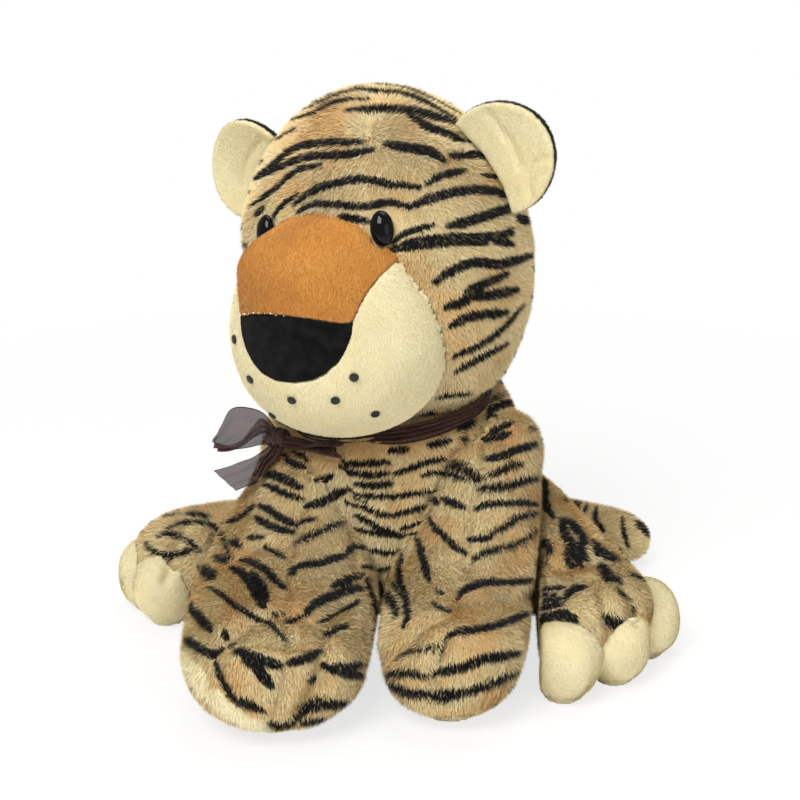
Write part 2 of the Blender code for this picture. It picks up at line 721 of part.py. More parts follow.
def build_ears(turn, head, materials):
    behind = swollen(head, FIT_GAP, "head_by_ear")
    low = -(EAR_BACK_THICKNESS + EAR_FRONT_THICKNESS) / 2
    split = low + EAR_BACK_THICKNESS
    high = split + FIT_GAP + EAR_FRONT_THICKNESS
    layers = (("ear_back_", low, split, -EAR_FILL, 0.0, 0.0, "ear_back_plush"),
              ("ear_front_", split + FIT_GAP, high, 0.0, EAR_FILL, EAR_RIM, "ear_front_plush"))
    for side, label in ((1, "left"), (-1, "right")):
        frame = ear_frame(head, side)
        hinge = turn @ frame.translation
        axis = (turn.to_3x3() @ frame.to_3x3() @ Vector((side, 0, 0))).normalized()
        for name, bottom, top, low_bulge, high_bulge, inset, material in layers:
            layer = ear_layer(name + label, bottom, top, low_bulge, high_bulge, inset, side)
            piece = add_piece(name + label, moved(layer, turn @ frame, name + label), materials[material])
            keeper = moved(behind, turn, "ear_keeper")
            clear_path(piece, keeper, name + label + "_cut", hinge, axis, -EAR_FOLD_BACK_DEG,
                       EAR_FOLD_FRONT_DEG, EAR_STEP_DEG)
        print("ear hinge", label, [round(value, 5) for value in hinge], [round(value, 5) for value in axis])


def front_leg_form(label):
    """A front leg from its shoulder to the floor, still whole, and its shoulder's centre."""
    left = label == "left"
    shoulder_x = SHOULDER_LEFT_X if left else SHOULDER_RIGHT_X
    shoulder_z = SHOULDER_LEFT_Z if left else SHOULDER_RIGHT_Z
    reach = FRONT_LEFT_REACH if left else FRONT_RIGHT_REACH
    foot_x = FRONT_LEFT_FOOT_X if left else FRONT_RIGHT_FOOT_X
    foot = FRONT_LEFT_FOOT_HALF_WIDTH if left else FRONT_RIGHT_FOOT_HALF_WIDTH
    top_z = shoulder_z + SHOULDER_CAP
    drop = top_z - FRONT_FOOT_HEIGHT / 2 + REST_CUT
    forward_shares = [0.0, 0.04, 0.14, 0.34, 0.64, 1.0]
    down_shares = [0.0, 0.30, 0.58, 0.86, 1.0, 1.0]
    shift = foot_x - shoulder_x
    toe_shift = 0.0 if left else FRONT_RIGHT_TOE_SHIFT
    spine = []
    for forward, down in zip(forward_shares, down_shares):
        x = shoulder_x + shift * down + toe_shift * forward ** 6
        spine.append(Vector((x, SHOULDER_Y - reach * forward, top_z - drop * down)))
    top, shin, tall = SHOULDER_HALF_WIDTH, FRONT_SHIN_HALF_WIDTH, FRONT_FOOT_HEIGHT / 2
    widths = [top, (top + shin) / 2, (shin + foot) / 2, foot, foot, foot]
    depths = [top, top, (top + shin) / 2, shin, tall, tall]
    cap_share, toe_share = 0.14, 0.24
    sideways = Vector((1, 0, 0))
    ends = (cap_share, toe_share, FRONT_TOE_BLUNT)
    mesh = limb("front_leg_" + label, spine, widths, depths, sideways, *ends)
    return rest_on_floor(mesh), Vector((shoulder_x, SHOULDER_Y, shoulder_z))


def build_front_legs(torso, materials):
    """The legs keep clear of the torso, the neck ribbon and the head, all the way up."""
    band = neck_layer(BAND_THICKNESS + LEG_CLEARANCE, 0.0, "neck_by_leg")
    low = neck_seam() - neck_axis() * (BAND_HEIGHT + LEG_CLEARANCE)
    cut_flat(band, low, -neck_axis())
    wide = HEAD_WIDTH
    above = prism("above_neck", [(-wide, 0), (wide, 0), (wide, wide), (-wide, wide)], -wide, wide)
    keepers = {"torso": swollen(torso, FIT_GAP, "torso_by_leg"), "band": band,
               "neck": moved(above, neck_frame() @ Matrix.Translation((0, 0, -FIT_GAP)), "above_neck")}
    bow = {}
    for name in ("ribbon_knot", "ribbon_loop_left", "ribbon_end_left", "ribbon_end_right"):
        bow[name] = swollen(bpy.data.objects[name].data, LEG_CLEARANCE, name + "_by_leg")
    for side, label, foot_x in ((1, "left", FRONT_LEFT_FOOT_X), (-1, "right", FRONT_RIGHT_FOOT_X)):
        form, hinge = front_leg_form(label)
        tilt = math.radians(FRONT_SOLE_TILT_DEG)
        normal = Vector((-side * math.sin(tilt), 0, math.cos(tilt)))
        middle = Vector((foot_x, 0, FRONT_SOLE_HEIGHT))
        sole_mesh = cut_flat(form.copy(), middle - normal * FIT_GAP / 2, normal)
        leg_mesh = cut_flat(form.copy(), middle + normal * FIT_GAP / 2, -normal)
        leg = add_piece("front_leg_" + label, leg_mesh, materials["striped_plush"])
        sole = add_piece("front_sole_" + label, sole_mesh, materials["cream_plush"])
        axis = Vector((-1, 0, 0))
        for name, keeper in keepers.items():
            clear_path(leg, keeper, f"{name}_by_leg_{label}", hinge, axis, 0, FRONT_LIFT_DEG)
        for name, keeper in bow.items():
            clear_path(leg, keeper, f"{name}_by_leg_{label}", hinge, axis, 0, FRONT_LIFT_DEG, BOW_STEP_DEG)
        clear_path(sole, keepers["torso"], "torso_by_sole_" + label, hinge, axis, 0, FRONT_LIFT_DEG)
        print("shoulder hinge", label, [round(value, 5) for value in hinge])


def hind_direction(side, aim_deg):
    aim = math.radians(aim_deg)
    return Vector((side * math.cos(aim), -math.sin(aim), 0))


def hind_leg_form(hip, outward, reach, foot, thigh, tall, name):
    foot_z = tall - REST_CUT
    drop = hip.z - foot_z
    along_shares = [-0.25, 0.08, 0.40, 0.70, 1.0]
    down_shares = [0.0, 0.15, 0.5, 0.9, 1.0]
    spine = [hip + outward * reach * along - Vector((0, 0, drop * down))
             for along, down in zip(along_shares, down_shares)]
    widths = [THIGH_HALF_WIDTH, THIGH_HALF_WIDTH, (THIGH_HALF_WIDTH + foot) / 2, foot, foot]
    heights = [thigh, thigh, (thigh + tall) / 2, tall, tall]
    across = Vector((-outward.y, outward.x, 0))
    root_share, toe_share = 0.20, 0.30
    return rest_on_floor(limb(name, spine, widths, heights, across, root_share, toe_share))


def toe_forms(front, side, look_deg, arc_radius, fan_deg, label):
    """Three stuffed toes on an arc round the front of a hind foot, the middle one at front."""
    centre = front - hind_direction(side, look_deg) * arc_radius
    toes = []
    for number in range(TOE_COUNT):
        fan = fan_deg * (number - (TOE_COUNT - 1) / 2)
        place = centre + hind_direction(side, look_deg + fan) * arc_radius
        place.z = TOE_HEIGHT / 2
        toe = egg(f"toe_{label}_{number}", place, TOE_RADIUS, TOE_RADIUS, TOE_RADIUS,
                  TOE_HEIGHT / 2, TOE_HEIGHT / 2, TOE_SQUARE, sides=TOE_SIDES, rows=TOE_RINGS)
        toes.append(rest_on_floor(toe))
    return toes


def front_leg_lane(side, label):
    """The upright box that a front leg stays in while it lifts."""
    form, hinge = front_leg_form(label)
    outer = side * (max(side * vertex.co.x for vertex in form.vertices) + LEG_CLEARANCE)
    front = min(vertex.co.y for vertex in form.vertices)
    inner = -side * OVERRUN
    outline = [(outer, -OVERRUN), (inner, -OVERRUN), (inner, hinge.z), (outer, hinge.z)]
    return prism("leg_lane", outline, hinge.y + SHOULDER_HALF_WIDTH, front * 2)


def build_hind_legs(torso, materials):
    keeper = swollen(torso, FIT_GAP, "torso_by_hip")
    hips = {"left": (Vector((HIP_X, HIP_LEFT_Y, HIP_LEFT_Z)), HIND_LEFT_HINGE_Y),
            "right": (Vector((-HIP_X, HIP_RIGHT_Y, HIP_RIGHT_Z)), HIND_RIGHT_HINGE_Y)}
    halves = {"left": (HIND_LEFT_FOOT_HALF_WIDTH, THIGH_LEFT_HALF_HEIGHT, HIND_LEFT_FOOT_HEIGHT / 2),
              "right": (HIND_RIGHT_FOOT_HALF_WIDTH, THIGH_RIGHT_HALF_HEIGHT, HIND_RIGHT_FOOT_HEIGHT / 2)}
    aims = {"left": (HIND_LEFT_REACH, HIND_LEFT_AIM_DEG, HIND_LEFT_TOE_TURN_DEG),
            "right": (HIND_RIGHT_REACH, HIND_RIGHT_AIM_DEG, 0)}
    arcs = {"left": (TOE_LEFT_ARC_RADIUS, TOE_LEFT_FAN_DEG),
            "right": (TOE_RIGHT_ARC_RADIUS, TOE_RIGHT_FAN_DEG)}
    for side, label in ((1, "left"), (-1, "right")):
        hip, hinge_y = hips[label]
        foot, thigh, tall = halves[label]
        reach, aim, toe_turn = aims[label]
        outward = hind_direction(side, aim)
        form = hind_leg_form(hip, outward, reach, foot, thigh, tall, "hind_leg_" + label)
        leg = add_piece("hind_leg_" + label, form, materials["striped_plush"])
        hinge, _ = surface_point(torso, Vector((0, hinge_y, hip.z)), Vector((side, 0, 0)))
        clear_path(leg, keeper, "hind_leg_" + label + "_cut", hinge, Vector((0, 0, 1)), 0, HIND_SWING_DEG)
        lane = front_leg_lane(side, label)
        cut(leg, add_cutter("lane_" + label, lane))
        look = aim - toe_turn
        front = hip + outward * (reach - foot) + hind_direction(side, look) * (foot - TOE_RADIUS / 2)
        toes = toe_forms(front, side, look, *arcs[label], label)
        pad = add_piece("toe_pad_" + label, toes[0], materials["cream_plush"])
        for toe in toes[1:]:
            cut(pad, add_cutter(toe.name, toe), "UNION")
        cut(pad, add_cutter("foot_" + label, swollen(form, FIT_GAP, "foot_" + label)))
        cut(pad, add_cutter("toe_lane_" + label, lane.copy()))
        print("hip hinge", label, [round(value, 5) for value in hinge])


def tail_spine():
    tip_z = TAIL_RADIUS - REST_CUT
    drop = TAIL_ROOT_Z - tip_z
    ahead = TAIL_ROOT_Y - TAIL_TIP_Y
    side_shares = [0.0, 0.16, 0.40, 0.70, 1.0]
    curl_shares = [0.0, 0.80, 1.0, 0.70, 0.0]
    down_shares = [0.0, 0.15, 0.55, 0.95, 1.0]
    spine = []
    for across, curl, down in zip(side_shares, curl_shares, down_shares):
        y = TAIL_ROOT_Y - ahead * across + TAIL_CURL * curl
        spine.append(Vector((TAIL_SIDE_REACH * across, y, TAIL_ROOT_Z - drop * down)))
    return spine


def build_tail(torso, materials):
    root_share, start_share, end_share = 0.88, 0.10, 0.16
    halves = [TAIL_RADIUS * root_share, TAIL_RADIUS, TAIL_RADIUS, TAIL_RADIUS, TAIL_RADIUS]
    upright = Vector((0, 0, 1))
    mesh = rest_on_floor(limb("tail", tail_spine(), halves, halves, upright, start_share, end_share))
    tail = add_piece("tail", mesh, materials["striped_plush"])
    hinge = Vector((0, TAIL_ROOT_Y, TAIL_ROOT_Z))
    keeper = swollen(torso, FIT_GAP, "torso_by_tail")
    clear_path(tail, keeper, "tail_cut", hinge, Vector((0, 0, 1)), -TAIL_SWING_DEG, TAIL_SWING_DEG)
    print("tail hinge", [round(value, 5) for value in hinge])


def ribbon_width(along, open_share):
    """The ribbon is pleated into the knot and opens away from it."""
    knot_share = 0.15
    return RIBBON_WIDTH * (knot_share + open_share * along)


def ribbon_loop(name, knot, direction, face, length, depth, open_share):
    """A folded loop of ribbon that leaves the knot, opens along face and comes back."""
    path, widths = [], []
    steps = 14
    for number in range(steps + 1):
        angle = 2 * math.pi * number / steps
        share = (1 - math.cos(angle)) / 2
        place = knot + direction * (KNOT_RADIUS + FIT_GAP + RIBBON_THICKNESS / 2 + length * share)
        leaf = RIBBON_THICKNESS * math.cos(angle / 2)
        path.append(place + face * (depth / 2 * math.sin(angle) + leaf))
        widths.append(ribbon_width(share, open_share))
    across = [direction.cross(face)] * len(path)
    return strip(name, path, across, widths, RIBBON_THICKNESS)


def ribbon_end(name, knot, direction, face, length, open_share):
    """A cut end of the ribbon, flared from the knot. face is the way its flat side looks."""
    path, widths = [], []
    steps = 6
    for number in range(steps + 1):
        share = number / steps
        place = knot + direction * (KNOT_RADIUS + FIT_GAP + length * share)
        path.append(place + face * KNOT_RADIUS / 2 * math.sin(math.pi * share))
        widths.append(ribbon_width(share, open_share))
    across = [direction.cross(face)] * len(path)
    return strip(name, path, across, widths, RIBBON_THICKNESS)


def square_to(direction, hint):
    return (hint - direction * hint.dot(direction)).normalized()


def build_ribbon(materials):
    band_mesh = neck_layer(BAND_THICKNESS + FIT_GAP, FIT_GAP * 2, "ribbon_band")
    cut_flat(band_mesh, neck_seam() - neck_axis() * (BAND_HEIGHT + FIT_GAP * 2), -neck_axis())
    band = add_piece("ribbon_band", band_mesh, materials["organza"])
    cut(band, add_cutter("neck_by_band", swollen(torso_egg(), FIT_GAP, "neck_by_band")))
    around = math.radians(BOW_ANGLE_DEG)
    out = neck_frame().to_3x3() @ Vector((math.sin(around), -math.cos(around), 0))
    start = neck_seam() - neck_axis() * BOW_DROP
    skin, normal = surface_point(torso_egg(), start, out)
    knot = skin + normal * (FIT_GAP + KNOT_RADIUS)
    waist_share, shoulder_share = 0.8, 0.75
    waist, shoulder = KNOT_RADIUS * waist_share, KNOT_RADIUS * shoulder_share
    profile = [(0, -KNOT_RADIUS), (shoulder, -waist), (KNOT_RADIUS, 0), (shoulder, waist), (0, KNOT_RADIUS)]
    knot_mesh = moved(turned("ribbon_knot", profile, 16), Matrix.Translation(knot), "ribbon_knot")
    add_piece("ribbon_knot", knot_mesh, materials["organza"])
    print("knot", [round(value, 5) for value in knot])
    loops = {
        "right": ((-1.0, 0.25, 0.10), (-0.2, -1.0, 0.1), RIGHT_LOOP_LENGTH, RIGHT_LOOP_DEPTH, 0.70),
        "left": ((0.64, -0.77, 0.03), (0.2, -0.2, 1.0), LEFT_LOOP_LENGTH, LEFT_LOOP_DEPTH, 0.35),
    }
    for label, (way, hint, length, depth, open_share) in loops.items():
        direction = Vector(way).normalized()
        face = square_to(direction, Vector(hint))
        name = "ribbon_loop_" + label
        mesh = ribbon_loop(name, knot, direction, face, length, depth, open_share)
        add_piece(name, mesh, materials["organza"])
    ends = {
        "right": ((-0.84, -0.46, -0.50), (-0.1, -1.0, 0.3), RIGHT_END_LENGTH, 0.70),
        "left": ((-0.02, -0.88, -0.44), (-0.1, -0.4, 1.0), LEFT_END_LENGTH, 0.60),
    }
    for label, (way, hint, length, open_share) in ends.items():
        direction = Vector(way).normalized()
        face = square_to(direction, Vector(hint))
        name = "ribbon_end_" + label
        mesh = ribbon_end(name, knot, direction, face, length, open_share)
        add_piece(name, mesh, materials["organza"])


def build_tiger():
    clear_objects()
    materials = {
        "striped_plush": make_material("striped_plush", FUR_COLOUR),
        "cream_plush": make_material("cream_plush", CREAM_COLOUR),
        "bridge_plush": make_material("bridge_plush", BRIDGE_COLOUR),
        "nose_felt": make_material("nose_felt", BLACK_FELT_COLOUR),
        "black_thread": make_material("black_thread", BLACK_FELT_COLOUR),
        "ear_front_plush": make_material("ear_front_plush", EAR_COLOUR),
        "ear_back_plush": make_material("ear_back_plush", BLACK_FELT_COLOUR),
        "eye_plastic": make_material("eye_plastic", EYE_COLOUR),
        "washer_plastic": make_material("washer_plastic", WASHER_COLOUR),
        "organza": make_material("organza", RIBBON_COLOUR),
    }
    turn = head_turn()
    torso = torso_form()
    add_piece("torso", torso, materials["striped_plush"])
    head = head_form()
    head_mesh = cut_flat(moved(head, turn, "head"), neck_seam(), -neck_axis())
    head_piece = add_piece("head", head_mesh, materials["striped_plush"])
    build_muzzle(turn, head, materials)
    build_eyes(turn, head, head_piece, materials)
    build_ears(turn, head, materials)
    build_ribbon(materials)
    build_front_legs(torso, materials)
    build_hind_legs(torso, materials)
    build_tail(torso, materials)


build_tiger()
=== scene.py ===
# %% [markdown]
# A sitting plush tiger
# The real toy is sewn from printed long-pile plush, stuffed, and dressed with a sheer organza bow.
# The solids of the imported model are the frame. Each stuffed solid gets a smooth skin in the same place,
# seams are pressed into it, and thousands of small blades of pile are planted on it.

# %% Load the frame
import math
import bmesh
import bpy
import numpy as np
from mathutils import Matrix, Vector, noise
from mathutils.bvhtree import BVHTree


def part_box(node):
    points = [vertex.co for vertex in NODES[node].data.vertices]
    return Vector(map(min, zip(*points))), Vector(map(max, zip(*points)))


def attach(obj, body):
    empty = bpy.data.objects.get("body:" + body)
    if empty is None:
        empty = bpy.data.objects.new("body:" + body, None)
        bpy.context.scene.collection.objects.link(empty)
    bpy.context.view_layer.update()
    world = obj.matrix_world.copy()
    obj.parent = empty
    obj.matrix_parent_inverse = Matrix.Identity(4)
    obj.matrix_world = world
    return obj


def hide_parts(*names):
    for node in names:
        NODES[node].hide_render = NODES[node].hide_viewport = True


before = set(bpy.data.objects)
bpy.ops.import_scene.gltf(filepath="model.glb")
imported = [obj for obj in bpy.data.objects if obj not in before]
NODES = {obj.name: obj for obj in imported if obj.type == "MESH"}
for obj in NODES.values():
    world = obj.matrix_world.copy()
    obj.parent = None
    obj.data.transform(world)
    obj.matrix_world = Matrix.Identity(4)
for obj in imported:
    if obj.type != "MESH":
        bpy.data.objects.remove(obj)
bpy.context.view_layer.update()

MM = 0.001
NOISE_SEED = 5
noise.seed_set(NOISE_SEED)      # without it noise_vector, so the pile's swirls, differ from run to run
SCENE = bpy.context.scene

# %% [markdown]
# Camera
# The photograph was taken from a little to the toy's left and from above. The camera stands there, and
# the same camera is used below to carry lines from the picture onto the toy: a printed stripe is easiest
# to place where the eye sees it.

# %% Place the camera
IMAGE_PX = 800
FOCAL_PX = 1516.8
CENTRE_PX = (393.0, 388.1)
CAMERA_AZIMUTH = math.radians(4.0)
CAMERA_DISTANCE = 1.15
AIM = Vector((0.0, -0.034, 0.2))
EYE_LEVEL = 0.6

camera_data = bpy.data.cameras.new("camera")
camera = bpy.data.objects.new("camera", camera_data)
SCENE.collection.objects.link(camera)
SCENE.camera = camera
camera.location = (CAMERA_DISTANCE * math.sin(CAMERA_AZIMUTH),
                   AIM.y - CAMERA_DISTANCE * math.cos(CAMERA_AZIMUTH), EYE_LEVEL)
look = (AIM - camera.location).to_track_quat("-Z", "Y")
camera.rotation_euler = look.to_euler()
camera_data.sensor_width = 36.0
camera_data.lens = FOCAL_PX * camera_data.sensor_width / IMAGE_PX
camera_data.shift_x = (IMAGE_PX / 2 - CENTRE_PX[0]) / IMAGE_PX
camera_data.shift_y = (CENTRE_PX[1] - IMAGE_PX / 2) / IMAGE_PX
EYE_POINT = camera.location.copy()
print("camera lens", round(camera_data.lens, 2), "mm")

# %% [markdown]
# Small tools
# A colour is written as people read it in a picture, and one function turns it to the linear numbers that
# a shader takes. One more function adds a node: each value is either a plain value or a socket to link.

# %% Colour, node and mesh helpers
def linear(hex_colour):
    parts = [int(hex_colour[start:start + 2], 16) / 255 for start in (1, 3, 5)]
    return [c / 12.92 if c <= 0.04045 else ((c + 0.055) / 1.055) ** 2.4 for c in parts] + [1.0]


def add(tree, kind, values=None, **settings):
    node = tree.nodes.new(kind)
    for key, value in settings.items():
        setattr(node, key, value)
    for key, value in (values or {}).items():
        if isinstance(value, bpy.types.NodeSocket):
            tree.links.new(value, node.inputs[key])
        else:
            node.inputs[key].default_value = value
    return node


def maths(tree, operation, *values, clamp=False):
    return add(tree, "ShaderNodeMath", dict(enumerate(values)), operation=operation, use_clamp=clamp).outputs[0]


def vectors(tree, operation, *values, **named):
    values = {**dict(enumerate(values)), **named}
    return add(tree, "ShaderNodeVectorMath", values, operation=operation).outputs[0]


def mixed(tree, share, first, second):
    return add(tree, "ShaderNodeMix", {0: share, 6: first, 7: second}, data_type="RGBA").outputs[2]


def ranged(tree, value, *limits):
    """A value carried from one range to another. The limits are: from low, from high, to low, to high."""
    return add(tree, "ShaderNodeMapRange", dict(enumerate((value, *limits)))).outputs[0]


def new_object(name, mesh):
    made = bpy.data.objects.new(name, mesh)
    SCENE.collection.objects.link(made)
    return made


def plain_mesh(piece):
    """The mesh that a piece's modifiers make, with nothing live left in it."""
    depsgraph = bpy.context.evaluated_depsgraph_get()
    return bpy.data.meshes.new_from_object(piece.evaluated_get(depsgraph), depsgraph=depsgraph)


def points_of(mesh):
    places = np.empty(len(mesh.vertices) * 3)
    mesh.vertices.foreach_get("co", places)
    return places.reshape(-1, 3)


def normals_of(mesh):
    ways = np.empty(len(mesh.vertices) * 3)
    mesh.vertex_normals.foreach_get("vector", ways)
    return ways.reshape(-1, 3)


def move_points(mesh, places):
    mesh.vertices.foreach_set("co", np.asarray(places, dtype=np.float32).ravel())
    mesh.update()


def set_values(mesh, name, kind, values):
    layer = mesh.attributes.get(name) or mesh.attributes.new(name, kind, "POINT")
    layer.data.foreach_set("vector" if kind == "FLOAT_VECTOR" else "value",
                           np.asarray(values, dtype=np.float32).ravel())


print("helpers ready")

# %% [markdown]
# Skins
# A stuffed piece has no facets and no sharp edge: the filling pushes the cloth out until only the seams
# hold it back. So each solid is copied, its loose triangles are merged, and it is remeshed in small even
# cells and relaxed. It is drawn in by the height that the pile will add again, and where the toy sits on
# the floor it stays flat.

# %% Make the skins
SKIN_FLOOR = 0.6 * MM         # the skin's height over the floor, which leaves room for the cloth
JOIN_DISTANCE = 0.01 * MM
ON_FLOOR = 3.0 * MM           # a piece whose lowest point is below this rests on the floor
REST_HEIGHT = 4.2 * MM        # points up to here over a piece's lowest one are pressed flat
LOOKS_DOWN = -0.55            # a normal's height below which the skin looks down
SKINS = {
    # node: (body, cell mm, rounds of relaxing, drawn in mm)
    "torso": ("torso", 3.2, 46, 2.0),
    "head": ("head", 3.2, 50, 1.8),
    "front_leg_left": ("front_leg_left", 2.8, 22, 1.8),
    "front_leg_right": ("front_leg_right", 2.8, 22, 1.8),
    "front_sole_left": ("front_leg_left", 2.4, 8, 0.6),
    "front_sole_right": ("front_leg_right", 2.4, 8, 0.6),
    "hind_leg_left": ("hind_leg_left", 2.8, 22, 1.8),
    "hind_leg_right": ("hind_leg_right", 2.8, 22, 1.8),
    "toe_pad_left": ("hind_leg_left", 2.2, 14, 0.1),
    "toe_pad_right": ("hind_leg_right", 2.2, 14, 0.1),
    "tail": ("tail", 2.6, 22, 1.8),
    "muzzle": ("head", 1.8, 3, 0.5),
    "muzzle_bridge": ("head", 1.2, 4, 0.4),
    "nose": ("head", 1.1, 4, 0.1),
    "ear_back_left": ("ear_left", 1.5, 8, 1.5),
    "ear_back_right": ("ear_right", 1.5, 8, 1.5),
    "ear_front_left": ("ear_left", 1.4, 7, -0.3),
    "ear_front_right": ("ear_right", 1.4, 7, -0.3),
}


def merged_copy(*nodes):
    """The loose triangles of one solid or more, joined at their corners."""
    shell = bmesh.new()
    for node in nodes:
        shell.from_mesh(NODES[node].data)
    bmesh.ops.remove_doubles(shell, verts=shell.verts, dist=JOIN_DISTANCE)
    mesh = bpy.data.meshes.new(nodes[0] + "_shell")
    shell.to_mesh(mesh)
    shell.free()
    return mesh


def relaxed(name, mesh, cell, rounds, drawn_in):
    """The same body in even cells, smoothed, and drawn in along its normals."""
    work = new_object(name, mesh)
    remesh = work.modifiers.new("cells", "REMESH")
    remesh.mode = "VOXEL"
    remesh.voxel_size = cell * MM
    relax = work.modifiers.new("relax", "SMOOTH")
    relax.factor = 0.5
    relax.iterations = rounds
    inward = work.modifiers.new("inward", "DISPLACE")
    inward.mid_level = 0.0
    inward.strength = -drawn_in * MM
    result = plain_mesh(work)
    bpy.data.objects.remove(work)
    result.name = name
    return result


def settled(mesh, node):
    """Press flat on the floor what rests there, and keep every point above it."""
    places, ways = points_of(mesh), normals_of(mesh)
    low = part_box(node)[0].z
    resting = (places[:, 2] < low + REST_HEIGHT) & (ways[:, 2] < LOOKS_DOWN)
    if low < ON_FLOOR:
        places[resting, 2] = SKIN_FLOOR
        places[:, 2] = np.maximum(places[:, 2], SKIN_FLOOR)
    move_points(mesh, places)


skins = {}
for node, (body, cell, rounds, drawn_in) in SKINS.items():
    mesh = relaxed(node + "_skin", merged_copy(node), cell, rounds, drawn_in)
    settled(mesh, node)
    skins[node] = mesh
print("skins:", len(skins), "with", sum(len(mesh.polygons) for mesh in skins.values()), "faces")

# %% [markdown]
# The muzzle is one full ball of plush, and its bridge and nose are panels in the same curve. So the three
# solids are first melted into one smooth ball, and the outer face of each skin is laid on it: then light
# runs over the seams without a step, and only a fine groove shows where two cloths meet.

# %% Lay the muzzle's three skins on one curve
def tree_of(mesh):
    return BVHTree.FromPolygons([v.co.copy() for v in mesh.vertices], [tuple(p.vertices) for p in mesh.polygons])


MUZZLE_PIECES = {"muzzle": 0.35, "muzzle_bridge": 0.25, "nose": 0.0}    # node: sunk under the ball, mm
HELD_WHOLLY, HELD_PARTLY = 1.6 * MM, 3.0 * MM    # from the ball
SAME_WAY = 0.35                                  # a face that looks less than this way keeps its place
# The seam's rise in pixels, by the pixel across
SEAM_RISE = {232: 1, 241: 3, 254: 9, 265: 11, 279: 11, 293: 9, 310: 5, 326: 0, 340: -5, 350: -7, 362: -3, 375: 0}
SEAM_Y = 322        # pixel, the height of the solids' seam, about which the cloth is shifted
SEAM_REACH = 26     # pixels up and down over which the shift fades


def picture_place(places):
    """The pixels at which the camera sees these points."""
    turned = (places - np.array(EYE_POINT)) @ np.array(look.to_matrix())
    aside, up = turned[:, 0] / turned[:, 2] * FOCAL_PX, turned[:, 1] / turned[:, 2] * FOCAL_PX
    return CENTRE_PX[0] - aside, CENTRE_PX[1] + up


def shift_seam(places):
    """Slide the cloth near the nose's upper seam to the arch that the picture shows."""
    across, down = picture_place(places)
    rise = np.interp(across, list(SEAM_RISE), list(SEAM_RISE.values()))
    fade = np.exp(-((down - SEAM_Y) / SEAM_REACH) ** 2)
    per_pixel = np.linalg.norm(places - np.array(EYE_POINT), axis=1) / FOCAL_PX
    upwards = np.array(look @ Vector((0, 1, 0)))
    return places + upwards * (rise * fade * per_pixel)[:, None]


ball = relaxed("ball", merged_copy(*MUZZLE_PIECES), 2.2, 60, 0.0)
ball_tree = tree_of(ball)
for node, sunk in MUZZLE_PIECES.items():
    mesh = skins[node]
    move_points(mesh, shift_seam(points_of(mesh)))
    places, ways = points_of(mesh), normals_of(mesh)
    for index, (place, way) in enumerate(zip(places, ways)):
        nearest, ball_way, _, gap = ball_tree.find_nearest(Vector(place))
        facing = Vector(way).dot(ball_way)
        if facing > SAME_WAY and gap < HELD_PARTLY:
            near = min(1.0, (HELD_PARTLY - gap) / (HELD_PARTLY - HELD_WHOLLY))
            hold = near * min(1.0, (facing - SAME_WAY) / 0.4)
            goal = nearest - ball_way * sunk * MM
            places[index] = Vector(place).lerp(goal, hold)
    move_points(mesh, places)
bpy.data.meshes.remove(ball)
print("muzzle, bridge and nose share one curve")

# %% [markdown]
# Seams and creases
# A seam pulls the cloth in and a crease folds it. Both are drawn as lines in the picture, in pixels, and
# carried onto the skins by rays from the camera. The skin sinks along the line, deepest at its middle.

# %% Carry lines from the picture onto the skins
JUMP = 12 * MM     # two neighbouring points farther apart than this lie on different folds


def pixel_ray(x, y):
    way = Vector(((x - CENTRE_PX[0]) / FOCAL_PX, -(y - CENTRE_PX[1]) / FOCAL_PX, -1.0))
    return (look @ way).normalized()


def smooth_line(points, step):
    """Points every step pixels along a soft curve through the given ones."""
    points = np.array(points, float)
    if len(points) == 2:
        points = np.array([points[0], points.mean(0), points[1]])
    padded = np.vstack([2 * points[0] - points[1], points, 2 * points[-1] - points[-2]])
    line = []
    for a, b, c, d in zip(padded, padded[1:], padded[2:], padded[3:]):
        count = max(2, int(np.linalg.norm(c - b) / step))
        for part in range(count):
            t = part / count
            line.append(0.5 * (2 * b + (c - a) * t + (2 * a - 5 * b + 4 * c - d) * t ** 2
                               + (3 * b - a - 3 * c + d) * t ** 3))
    line.append(points[-1])
    return np.array(line)


ribbons = {}    # node: mesh, filled once the ribbon is laid


def whole_surface():
    """One search tree over every visible piece, and the node that each face belongs to."""
    places, faces, owners = [], [], []
    for name, node in NODES.items():
        mesh = skins.get(name) or ribbons.get(name) or node.data
        start = len(places)
        places += [v.co.copy() for v in mesh.vertices]
        faces += [tuple(start + i for i in p.vertices) for p in mesh.polygons]
        owners += [name] * len(mesh.polygons)
    return BVHTree.FromPolygons(places, faces), owners


def carried(line, surface, owners, step=1.4):
    """The runs of points where a picture line meets each node: (node, points, share along the line)."""
    runs, last = [], None
    points = smooth_line(line, step)
    for number, (x, y) in enumerate(points):
        place, way, face, _ = surface.ray_cast(EYE_POINT, pixel_ray(x, y))
        if place is None:
            last = None
            continue
        name = owners[face]
        jumped = last is not None and (runs[-1][1][-1] - place).length > JUMP
        if name != last or jumped:
            runs.append((name, [], []))
        runs[-1][1].append(place)
        runs[-1][2].append(number / (len(points) - 1))
        last = name
    return runs


